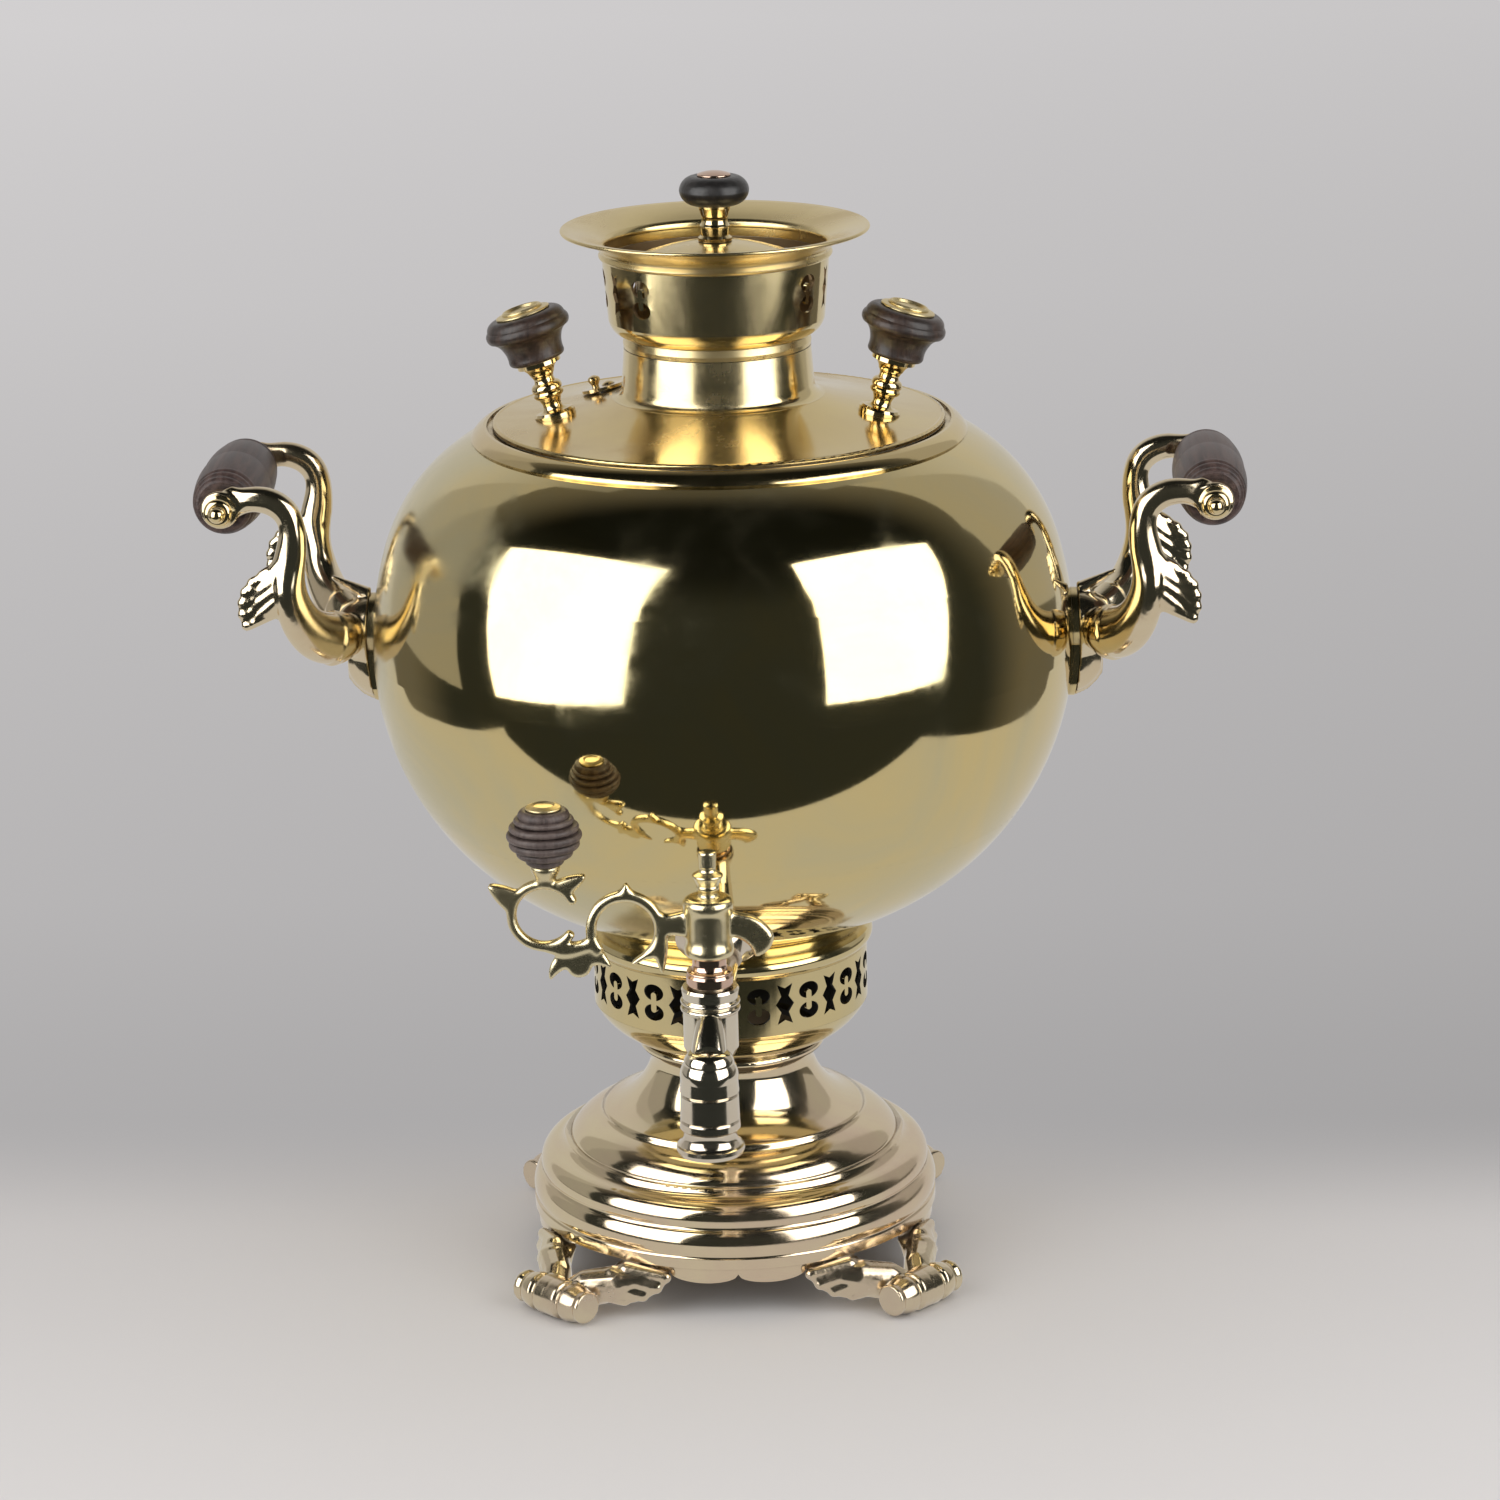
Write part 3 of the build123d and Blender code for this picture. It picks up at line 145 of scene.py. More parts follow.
def room_light():
    """Even grey light; what is mirrored is a dark studio, darkest overhead, with a dim wall behind."""
    world = bpy.data.worlds.new("room")
    bpy.context.scene.world = world
    world.use_nodes = True
    tree = world.node_tree
    tree.nodes.clear()
    direction = add_node(tree, "ShaderNodeTexCoord").outputs["Generated"]
    split = add_node(tree, "ShaderNodeSeparateXYZ", {0: direction})
    overhead = map_range(tree, split.outputs["Z"], overhead_start, overhead_full)
    front = add_node(tree, "ShaderNodeMix", {"Factor": overhead, 6: studio_dark, 7: studio_top},
                     data_type="RGBA")
    behind = map_range(tree, split.outputs["Y"], behind_start, behind_full)
    mirrored = add_node(tree, "ShaderNodeMix", {"Factor": behind, 6: front.outputs[2], 7: studio_behind},
                        data_type="RGBA")
    sky = add_node(tree, "ShaderNodeBackground", {"Color": sky_colour})
    studio = add_node(tree, "ShaderNodeBackground", {"Color": mirrored.outputs[2]})
    rays = add_node(tree, "ShaderNodeLightPath")
    mix = add_node(tree, "ShaderNodeMixShader", {
        0: rays.outputs["Is Glossy Ray"], 1: sky.outputs["Background"], 2: studio.outputs["Background"]})
    add_node(tree, "ShaderNodeOutputWorld", {"Surface": mix.outputs["Shader"]})


room_light()

# What the polished brass mirrors: the paper sweep that the samovar stands on, dimmer walls at its sides and
# behind it, and two tall soft boxes, one at each side in front. None of it shows to the camera itself.

paper_left = -0.75
paper_right = 0.62
paper_front = -0.30
paper_bend = 0.30
paper_bend_radius = 0.45
paper_bend_steps = 16
paper_level = 0.0005        # above the floor
paper_top = 2.3
paper_fade_from = 0.5       # height above which its light falls off
paper_colour = (0.60, 0.59, 0.58, 1)
paper_top_share = 0.42      # light on the top of the sweep, as a share of that on its foot
left_wall_light = 0.36
right_wall_light = 0.42
back_wall_light = 0.432
wall_white = (1.0, 0.97, 0.92, 1)
box_white = (1, 0.995, 0.98, 1)
soft_box_strength = 2.35
soft_box_mirrored = 3.2     # their strength as the brass mirrors them


def only_in_reflections(plane):
    plane.visible_camera = False
    plane.visible_diffuse = False
    plane.visible_shadow = False
    plane.visible_transmission = False


def glow_material(name, colour, strength, top_share=1.0, mirrored=None):
    """Light of one colour that fades with height to top_share; mirrored is its strength in the brass."""
    material, tree, output = new_material(name)
    glow = add_node(tree, "ShaderNodeEmission", {"Color": colour, "Strength": strength})
    if top_share < 1.0:
        place = add_node(tree, "ShaderNodeTexCoord")
        split = add_node(tree, "ShaderNodeSeparateXYZ", {0: place.outputs["Object"]})
        height = map_range(tree, split.outputs["Z"], paper_fade_from, paper_top)
        faded = math_node(tree, "MULTIPLY_ADD", height, strength * (top_share - 1.0), strength)
        tree.links.new(faded, glow.inputs["Strength"])
    if mirrored:
        rays = add_node(tree, "ShaderNodeLightPath")
        both = math_node(tree, "MULTIPLY_ADD", rays.outputs["Is Glossy Ray"], mirrored - strength, strength)
        tree.links.new(both, glow.inputs["Strength"])
    tree.links.new(glow.outputs["Emission"], output.inputs["Surface"])
    return material


sweep_line = [(paper_front, paper_level), (paper_bend, paper_level)]
for step in range(1, paper_bend_steps + 1):
    turn = math.radians(90 * step / paper_bend_steps)
    sweep_line.append((
        paper_bend + paper_bend_radius * math.sin(turn), paper_bend_radius * (1 - math.cos(turn))))
sweep_line.append((paper_bend + paper_bend_radius, paper_top))
sweep_points = [(x, y, z) for y, z in sweep_line for x in (paper_left, paper_right)]
sweep_faces = [(2 * i, 2 * i + 1, 2 * i + 3, 2 * i + 2) for i in range(len(sweep_line) - 1)]
sweep = stage_plane("paper_sweep", sweep_points, sweep_faces)
sweep.data.materials.append(glow_material("paper_glow", paper_colour, 1.0, paper_top_share))
only_in_reflections(sweep)

for name, strength, corners in (
        ("left_wall", left_wall_light,
         [(-1.4, -0.10, 0.0), (-1.8, 1.1, 0.0), (-1.8, 1.1, 2.0), (-1.4, 0.25, 1.2)]),
        ("right_wall", right_wall_light,
         [(0.55, 0.92, 0.1), (2.1, 0.80, 0.2), (2.1, 0.80, 1.6), (0.55, 0.92, 2.3)]),
        ("back_wall", back_wall_light,
         [(-1.9, 1.1, 0.0), (-0.6, 1.1, 0.0), (-0.6, 1.1, 2.2), (-1.9, 1.1, 2.0)])):
    wall = stage_plane(name, corners)
    wall.data.materials.append(glow_material(name + "_glow", wall_white, strength))
    only_in_reflections(wall)

for name, corners in (
        ("soft_box_left",
         [(-0.8, -0.30, 0.12), (-0.8, -0.06, 0.86), (-0.8, -2.05, 2.9), (-0.8, -1.50, 0.06)]),
        ("soft_box_right",
         [(0.8, -1.20, 0.06), (0.8, -1.22, 2.0), (0.8, -0.03, 0.86), (0.8, -0.27, 0.16)])):
    box = stage_plane(name, corners)
    box.data.materials.append(glow_material(
        name + "_glow", box_white, soft_box_strength, mirrored=soft_box_mirrored))
    box.visible_camera = False

# The camera stands in front, a little to the right, and looks down on the lid.

view_distance = 1.75
view_height = 0.7161
view_azimuth = math.radians(3)
view_yaw = math.radians(0.305)
view_fall = math.radians(16.3)
view_roll = math.radians(1.14)
frame_width_px = 1500
focal_px = 4700
film_width_mm = 36

heading = view_azimuth - view_yaw
level_ahead = Vector((-math.sin(heading), math.cos(heading), 0))
ahead = level_ahead * math.cos(view_fall) - Vector((0, 0, math.sin(view_fall)))
level = ahead.cross(Vector((0, 0, 1))).normalized()
above = level.cross(ahead)
across = level * math.cos(view_roll) - above * math.sin(view_roll)
upward = level * math.sin(view_roll) + above * math.cos(view_roll)
camera_data = bpy.data.cameras.new("camera")
camera_data.sensor_width = film_width_mm
camera_data.lens = film_width_mm * focal_px / frame_width_px
camera = bpy.data.objects.new("camera", camera_data)
bpy.context.scene.collection.objects.link(camera)
bpy.context.scene.camera = camera
facing = Matrix((across, upward, -ahead)).transposed().to_4x4()
place = Vector((
    view_distance * math.sin(view_azimuth), -view_distance * math.cos(view_azimuth), view_height))
camera.matrix_world = Matrix.Translation(place) @ facing
bpy.context.scene.view_settings.view_transform = "Standard"

# Base: a cast brass pedestal turned on the lathe, open underneath, with a scalloped apron soldered under
# its rim. It is polished by hand outside, with brown tarnish left in the turned steps, and stays rough cast
# inside.

cast_gold = (0.83, 0.71, 0.47, 1)
cast_rose = (0.76, 0.60, 0.44, 1)
tarnish_brown = (0.13, 0.085, 0.05, 1)
rough_cast = (0.20, 0.15, 0.09, 1)
tin_grey = (0.46, 0.45, 0.42, 1)
# black of soot in the flue; inside the gallery it is soot with painted shade
soot_and_shade_black = (0.022, 0.020, 0.018, 1)


def start_group(name, inputs, outputs):
    """Shader group that is given a vector and the named numbers, and hands out the named outputs."""
    group = bpy.data.node_groups.new(name, "ShaderNodeTree")
    group.interface.new_socket("Vector", in_out="INPUT", socket_type="NodeSocketVector")
    for label in inputs:
        group.interface.new_socket(label, in_out="INPUT", socket_type="NodeSocketFloat")
    for label in outputs:
        group.interface.new_socket(label, in_out="OUTPUT", socket_type="NodeSocketFloat")
    return group, group.nodes.new("NodeGroupInput"), group.nodes.new("NodeGroupOutput")


def noise(tree, vector, scale, detail, roughness=0.5, distortion=0.0):
    node = add_node(tree, "ShaderNodeTexNoise", {
        "Vector": vector, "Scale": scale, "Detail": detail, "Roughness": roughness,
        "Distortion": distortion})
    return node.outputs["Fac"]


scratch_depth = 0.012       # of the wipe marks, as a share of the dents


def hand_polish_group():
    """Haze in soft clouds, crossing wipe marks and slow dents: a roughness, a height and a shift of tone."""
    group, given, result = start_group(
        "hand_polish", ["Sheen", "Haze", "Wipe"], ["Roughness", "Height", "Tone"])
    point = given.outputs["Vector"]
    clouds = noise(group, point, scale=13.0, detail=7.0, roughness=0.60, distortion=0.8)
    patches = map_range(group, clouds, low=0.44, high=0.72)
    marks = []
    for stretch, lean in (((1.0, 1.0, 9.0), (0.25, 0.2, 0)), ((7.0, 7.0, 1.0), (0.1, 0.3, 0))):
        along = add_node(group, "ShaderNodeMapping", {"Vector": point, "Scale": stretch, "Rotation": lean})
        marks.append(noise(group, along.outputs["Vector"], scale=90.0, detail=4.0, roughness=0.7))
    crossing = math_node(group, "MULTIPLY", marks[0], marks[1])
    haze = math_node(group, "MULTIPLY_ADD", patches, given.outputs["Haze"], given.outputs["Sheen"])
    rough = math_node(group, "MULTIPLY_ADD", crossing, given.outputs["Wipe"], haze)
    dents = noise(group, point, scale=16.0, detail=1.0)
    height = math_node(group, "MULTIPLY_ADD", crossing, scratch_depth, dents)
    group.links.new(rough, result.inputs["Roughness"])
    group.links.new(height, result.inputs["Height"])
    group.links.new(clouds, result.inputs["Tone"])
    return group


def corner_tarnish_group():
    """Brown film that stays where a polishing cloth doesn't reach, broken up by spots."""
    group, given, result = start_group("corner_tarnish", ["Reach", "Amount"], ["Mask"])
    hollow = add_node(group, "ShaderNodeAmbientOcclusion", {"Distance": given.outputs["Reach"]}, samples=8)
    depth = map_range(group, hollow.outputs["AO"], low=0.80, high=0.30, kind="LINEAR")
    spots = noise(group, given.outputs["Vector"], scale=140.0, detail=5.0)
    broken = map_range(group, spots, low=0.30, high=0.62, kind="LINEAR")
    film = math_node(group, "MULTIPLY", depth, broken)
    mask = math_node(group, "MULTIPLY", film, given.outputs["Amount"], clamp=True)
    group.links.new(mask, result.inputs["Mask"])
    return group


edge_on = 0.0005            # faces that look this little away from the axis count as outer


def inner_side_group():
    """1 where a face looks towards a centre at that height on the axis, 0 where it looks away from it.

    With Upright at 0 it is the whole axis that a face looks towards or away from.
    """
    group, given, result = start_group("inner_side", ["Height", "Upright"], ["Mask"])
    normal = add_node(group, "ShaderNodeTexCoord").outputs["Normal"]
    split = add_node(group, "ShaderNodeSeparateXYZ", {0: given.outputs["Vector"]})
    above_centre = math_node(group, "SUBTRACT", split.outputs["Z"], given.outputs["Height"])
    lift = math_node(group, "MULTIPLY", above_centre, given.outputs["Upright"])
    outward = add_node(group, "ShaderNodeCombineXYZ", {
        "X": split.outputs["X"], "Y": split.outputs["Y"], "Z": lift})
    facing_out = add_node(group, "ShaderNodeVectorMath", {0: outward.outputs["Vector"], 1: normal},
                          operation="DOT_PRODUCT")
    mask = math_node(group, "LESS_THAN", facing_out.outputs["Value"], -edge_on)
    group.links.new(mask, result.inputs["Mask"])
    return group


hand_polish = hand_polish_group()
corner_tarnish = corner_tarnish_group()
inner_side = inner_side_group()


def blend(tree, factor, first, second):
    node = add_node(tree, "ShaderNodeMix", {"Factor": factor, 6: first, 7: second}, data_type="RGBA")
    return node.outputs[2]


def blend_value(tree, factor, first, second):
    node = add_node(tree, "ShaderNodeMix", {"Factor": factor, 2: first, 3: second}, data_type="FLOAT")
    return node.outputs[0]


tarnish_roughness = 0.35
lining_roughness = 0.55
lining_shade = 0.6          # darkest patches of a lining, as a share of its colour


def darker(colour, share):
    return tuple(share * part for part in colour[:3]) + (1,)


def lining(colour, height=0.0, upright=1.0, metal=1.0):
    """Finish of the side towards a point at that height on the axis or, with upright 0, towards the axis."""
    return {"colour": colour, "height": height, "upright": upright, "metal": metal}


def brass(name, colour, drift, sheen, haze, wipe, tarnish, dent, reach=0.004, inner=None):
    """Hand-polished brass that drifts to a second colour in clouds.

    sheen is its least roughness, haze and wipe what clouds and wipe marks add; dent is how deep its slow
    waviness is, and reach how far from a corner its tarnish begins, both in metres; inner is its lining.
    """
    material, tree, output = new_material(name)
    point = add_node(tree, "ShaderNodeTexCoord").outputs["Object"]
    polish = add_node(tree, "ShaderNodeGroup", {
        "Vector": point, "Sheen": sheen, "Haze": haze, "Wipe": wipe}, node_tree=hand_polish)
    film = add_node(tree, "ShaderNodeGroup", {
        "Vector": point, "Reach": reach, "Amount": tarnish}, node_tree=corner_tarnish)
    tone = map_range(tree, polish.outputs["Tone"], low=0.35, high=0.65, kind="LINEAR")
    clean = blend(tree, tone, colour, drift)
    stained = blend(tree, film.outputs["Mask"], clean, tarnish_brown)
    rough = math_node(
        tree, "MULTIPLY_ADD", film.outputs["Mask"], tarnish_roughness, polish.outputs["Roughness"])
    bump = add_node(tree, "ShaderNodeBump", {"Height": polish.outputs["Height"], "Distance": dent})
    shader = add_node(tree, "ShaderNodeBsdfPrincipled", {"Metallic": 1.0, "Normal": bump.outputs["Normal"]})
    if inner:
        inside = add_node(tree, "ShaderNodeGroup", {
            "Vector": point, "Height": inner["height"], "Upright": inner["upright"]}, node_tree=inner_side)
        mottled = blend(tree, tone, inner["colour"], darker(inner["colour"], lining_shade))
        stained = blend(tree, inside.outputs["Mask"], stained, mottled)
        rough = blend_value(tree, inside.outputs["Mask"], rough, lining_roughness)
        metal = blend_value(tree, inside.outputs["Mask"], 1.0, inner["metal"])
        tree.links.new(metal, shader.inputs["Metallic"])
    tree.links.new(stained, shader.inputs["Base Color"])
    tree.links.new(rough, shader.inputs["Roughness"])
    tree.links.new(shader.outputs["BSDF"], output.inputs["Surface"])
    return material


def finish_nodes(material, *names):
    for name in names:
        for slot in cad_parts[name].material_slots:
            slot.material = material


base_brass = brass(
    "base_brass", colour=cast_gold, drift=cast_rose,
    sheen=0.075, haze=0.13, wipe=0.09, tarnish=0.75, dent=0.00016, reach=0.005,
    inner=lining(rough_cast, metal=0.8))
rim_level = 0.0205          # of the base's lower edge
apron_outer = 0.0783        # radii of the apron's two sides
apron_inner = 0.0763
apron_drop = 0.0062         # how far a large lobe hangs down
apron_cusp_share = 0.6      # how deep the notch between two lobes is, as a share of the drop
apron_overlap = 0.0004      # how far the apron reaches into the turned part
cut_height = 0.0001         # above the rim's level, where the turned part ends
large_lobe_half = 9.75      # half the width of a lobe in degrees, seen from the axis
small_lobe_half = 2.75
small_lobe_drop = 0.75      # share of a large lobe's drop
# a quarter of the apron: the middle of each lobe and half its width in degrees, and how far it hangs down
quarter_lobes = (
    (-2 * large_lobe_half - small_lobe_half, small_lobe_half, small_lobe_drop * apron_drop),
    (-large_lobe_half, large_lobe_half, apron_drop),
    (large_lobe_half, large_lobe_half, apron_drop),
    (2 * large_lobe_half + small_lobe_half, small_lobe_half, small_lobe_drop * apron_drop))
lobe_steps = 24
base_turn = math.radians(3.3)           # of the apron, the feet and their solder about the axis
turned_edge = math.radians(28)          # faces that meet more steeply than this have a crisp edge
weld_distance = 0.00001


def merged_form(node):
    """The node's shape as one closed skin with its doubles merged."""
    form = bmesh.new()
    form.from_mesh(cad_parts[node].data)
    bmesh.ops.remove_doubles(form, verts=form.verts, dist=weld_distance)
    return form


def new_piece(name, form, material, sharp=None):
    mesh = bpy.data.meshes.new(name)
    form.to_mesh(mesh)
    form.free()
    mesh.materials.clear()
    mesh.materials.append(material)
    for face in mesh.polygons:
        face.use_smooth = True
        face.material_index = 0
    if sharp is not None:
        mesh.set_sharp_from_angle(angle=sharp)
    piece = bpy.data.objects.new(name, mesh)
    bpy.context.scene.collection.objects.link(piece)
    return piece


base_form = merged_form("pedestal")
cut = bmesh.ops.bisect_plane(
    base_form, geom=base_form.verts[:] + base_form.edges[:] + base_form.faces[:],
    plane_co=(0, 0, rim_level + cut_height), plane_no=(0, 0, 1), clear_inner=True)
cut_edges = [part for part in cut["geom_cut"] if isinstance(part, bmesh.types.BMEdge)]
bmesh.ops.triangle_fill(base_form, use_beauty=True, edges=cut_edges, normal=(0, 0, -1))
bmesh.ops.recalc_face_normals(base_form, faces=base_form.faces)
base_turned = new_piece("base_turned", base_form, base_brass, turned_edge)
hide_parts("pedestal")
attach(base_turned, "vessel")


def lobe_edge(middle, half_width, drop):
    """Points along the lower edge of one lobe: angle in degrees and level."""
    edge = []
    for step in range(lobe_steps + 1):
        across = 2 * step / lobe_steps - 1
        bulge = math.sqrt(max(0.0, 1 - across * across))
        level = rim_level - drop * (1 - apron_cusp_share + apron_cusp_share * bulge)
        edge.append((middle + half_width * across, level))
    return edge


apron_form = bmesh.new()
for quarter in range(4):
    lower_edge = []
    for middle, half_width, drop in quarter_lobes:
        lower_edge += lobe_edge(middle, half_width, drop)
    rows = []
    for angle, level in lower_edge:
        turn = base_turn + math.radians(90 * quarter + angle)
        row = []
        for radius, height in (
                (apron_outer, rim_level + apron_overlap), (apron_outer, level), (apron_inner, level),
                (apron_inner, rim_level + apron_overlap)):
            row.append(apron_form.verts.new((radius * math.cos(turn), radius * math.sin(turn), height)))
        rows.append(row)
    for first, second in zip(rows, rows[1:]):
        for side in range(len(first)):
            after = (side + 1) % len(first)
            apron_form.faces.new((first[side], second[side], second[after], first[after]))
    apron_form.faces.new(rows[0])
    apron_form.faces.new(rows[-1][::-1])
bmesh.ops.remove_doubles(apron_form, verts=apron_form.verts, dist=weld_distance)
bmesh.ops.recalc_face_normals(apron_form, faces=apron_form.faces)
base_apron = new_piece("base_apron", apron_form, base_brass, turned_edge)
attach(base_apron, "vessel")

# Solder: beads of grey soft solder, run by hand inside the rim where each branch of the feet meets it. A
# bead is a row of drops that flowed together, a little uneven in size.

solder_grey = (0.42, 0.42, 0.43, 1)
solder_radius = 0.0757      # of the ring that the beads lie on
solder_level = 0.0212
solder_drop = 0.0017        # radius of a drop
solder_arc = math.radians(9.0)
solder_count = 9
smallest_drop = 0.8         # as a share of solder_drop
largest_drop = 1.15
branch_angle = math.radians(13.8)
speckle_roughness = 0.25    # what speckles of the second colour add to the roughness


def speckled(name, first, second, metal, rough, scale, bump_height):
    """Material that wavers between two colours in fine speckles."""
    material, tree, output = new_material(name)
    point = add_node(tree, "ShaderNodeTexCoord").outputs["Object"]
    grain = noise(tree, point, scale=scale, detail=6.0, roughness=0.65)
    spread = map_range(tree, grain, low=0.30, high=0.70)
    roughness = math_node(tree, "MULTIPLY_ADD", grain, speckle_roughness, rough)
    bump = add_node(tree, "ShaderNodeBump", {"Height": grain, "Distance": bump_height})
    shader = add_node(tree, "ShaderNodeBsdfPrincipled", {
        "Base Color": blend(tree, spread, first, second), "Roughness": roughness, "Metallic": metal,
        "Normal": bump.outputs["Normal"]})
    tree.links.new(shader.outputs["BSDF"], output.inputs["Surface"])
    return material


def bead_tree():
    """Geometry Nodes: drops along one arc on a ring about the axis, each of its own size."""
    tree = bpy.data.node_groups.new("solder_bead", "GeometryNodeTree")
    ports = {}
    for label, kind in (
            ("Drops", "Int"), ("Ring Radius", "Float"), ("Level", "Float"), ("Start", "Float"),
            ("Sweep", "Float"), ("Drop Radius", "Float"), ("Seed", "Int"), ("Finish", "Material")):
        socket = tree.interface.new_socket(label, in_out="INPUT", socket_type="NodeSocket" + kind)
        ports[label] = socket.identifier
    tree.interface.new_socket("Geometry", in_out="OUTPUT", socket_type="NodeSocketGeometry")
    given = tree.nodes.new("NodeGroupInput")
    result = tree.nodes.new("NodeGroupOutput")
    arc = add_node(tree, "GeometryNodeCurveArc", {
        "Radius": given.outputs["Ring Radius"], "Start Angle": given.outputs["Start"],
        "Sweep Angle": given.outputs["Sweep"]})
    points = add_node(tree, "GeometryNodeCurveToPoints", {
        "Curve": arc.outputs["Curve"], "Count": given.outputs["Drops"]}, mode="COUNT")
    drop = add_node(tree, "GeometryNodeMeshIcoSphere", {
        "Radius": given.outputs["Drop Radius"], "Subdivisions": 3})
    size = add_node(tree, "FunctionNodeRandomValue", {
        "Seed": given.outputs["Seed"], 2: smallest_drop, 3: largest_drop}, data_type="FLOAT")
    drops = add_node(tree, "GeometryNodeInstanceOnPoints", {
        "Points": points.outputs["Points"], "Instance": drop.outputs["Mesh"], "Scale": size.outputs[1]})
    lift = add_node(tree, "ShaderNodeCombineXYZ", {"Z": given.outputs["Level"]})
    raised = add_node(tree, "GeometryNodeTransform", {
        "Geometry": drops.outputs["Instances"], "Translation": lift.outputs["Vector"]})
    real = add_node(tree, "GeometryNodeRealizeInstances", {"Geometry": raised.outputs["Geometry"]})
    smooth = add_node(tree, "GeometryNodeSetShadeSmooth", {"Geometry": real.outputs["Geometry"]})
    finish = add_node(tree, "GeometryNodeSetMaterial", {
        "Geometry": smooth.outputs["Geometry"], "Material": given.outputs["Finish"]})
    tree.links.new(finish.outputs["Geometry"], result.inputs["Geometry"])
    return tree, ports


def grown(name, tree, ports, values):
    """Plain mesh of what a Geometry Nodes tree makes with those values."""
    seed_mesh = bpy.data.meshes.new(name + "_seed")
    maker = bpy.data.objects.new(name + "_maker", seed_mesh)
    bpy.context.scene.collection.objects.link(maker)
    modifier = maker.modifiers.new("grow", "NODES")
    modifier.node_group = tree
    for label, value in values.items():
        modifier[ports[label]] = value
    graph = bpy.context.evaluated_depsgraph_get()
    mesh = bpy.data.meshes.new_from_object(maker.evaluated_get(graph))
    bpy.data.objects.remove(maker)
    return mesh


solder = speckled(
    "soft_solder", first=solder_grey, second=(0.30, 0.29, 0.28, 1),
    metal=1.0, rough=0.25, scale=400.0, bump_height=0.0002)
bead_maker, bead_ports = bead_tree()
bead_form = bmesh.new()
for quarter in range(4):
    for sign in (-1, 1):
        middle = base_turn + math.radians(45 + 90 * quarter) + sign * branch_angle
        bead_form.from_mesh(grown("bead", bead_maker, bead_ports, {
            "Drops": solder_count, "Ring Radius": solder_radius, "Level": solder_level,
            "Start": middle - solder_arc / 2, "Sweep": solder_arc, "Drop Radius": solder_drop,
            "Seed": 10 * quarter + sign, "Finish": solder}))
solder_beads = new_piece("solder_beads", bead_form, solder)
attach(solder_beads, "vessel")

# Feet: four cast brass rolls, each on two branches with leaves wrapped round them. They are cast in sand
# and filed by hand, so they are wavier than the turned pieces; the brass is rosy, and brown in the hollows.

foot_gold = (0.80, 0.69, 0.47, 1)
foot_brass = brass(
    "foot_brass", colour=foot_gold, drift=(0.66, 0.53, 0.40, 1),
    sheen=0.13, haze=0.18, wipe=0.14, tarnish=0.8, dent=0.0004, reach=0.005)
foot_turns = (("front_left", 225), ("front_right", 315), ("back_right", 45), ("back_left", 135))
rim_radius = 0.0797         # of the base's rim, which the leaves' lobes are placed from
foot_grain = 0.00055        # size of the cells that a casting is fused in
foot_filing = 5             # rounds of smoothing after that
# each lobe of a leaf runs from a root to a tip; both are given as the distance beyond the rim and below it,
# with the angle from the foot's middle in degrees, and a radius
leaf_lobes = (
    ((0.0035, 14.0, 0.0024, 0.0034), (0.0012, 24.8, 0.0040, 0.0024)),
    ((0.0065, 11.0, 0.0044, 0.0040), (0.0030, 22.6, 0.0078, 0.0026)),
    ((0.0090, 8.5, 0.0068, 0.0042), (0.0050, 19.2, 0.0110, 0.0026)),
    ((0.0110, 6.5, 0.0096, 0.0042), (0.0068, 14.6, 0.0134, 0.0024)),
)
branch_parts = (
    ((0.0160, 2.5, 0.0125, 0.0058), (0.0113, 5.0, 0.0082, 0.0056)),
    ((0.0113, 5.0, 0.0082, 0.0056), (0.0055, 12.0, 0.0070, 0.0064)),
    ((0.0120, 4.5, 0.0120, 0.0060), (0.0055, 12.0, 0.0080, 0.0066)),
    ((0.0055, 12.0, 0.0075, 0.0066), (0.0, 19.0, 0.0056, 0.0052)),
)
web_share = 0.76            # radius of the web between two lobes, as a share of theirs
unit_ball = bmesh.new()
bmesh.ops.create_icosphere(unit_ball, subdivisions=2, radius=1.0)
ball_points = [point.co.copy() for point in unit_ball.verts]
unit_ball.free()


def add_hull(form, balls):
    """Adds a closed skin stretched round a few balls, each a centre and a radius."""
    skin = bmesh.new()
    for centre, radius in balls:
        for point in ball_points:
            skin.verts.new(centre + radius * point)
    wrapped = bmesh.ops.convex_hull(skin, input=skin.verts[:])
    spare = {part for part in wrapped["geom_interior"] + wrapped["geom_unused"]
             if isinstance(part, bmesh.types.BMVert)}
    bmesh.ops.delete(skin, geom=list(spare), context="VERTS")
    bmesh.ops.recalc_face_normals(skin, faces=skin.faces)
    mesh = bpy.data.meshes.new("hull")
    skin.to_mesh(mesh)
    skin.free()
    form.from_mesh(mesh)
    bpy.data.meshes.remove(mesh)


def add_leaf(form, lobes):
    """Adds lobes and the webs between them; a lobe is a root and a tip, each a centre and a radius."""
    for lobe in lobes:
        add_hull(form, lobe)
    for first, second in zip(lobes, lobes[1:]):
        add_hull(form, [(centre, web_share * radius) for centre, radius in first + second])


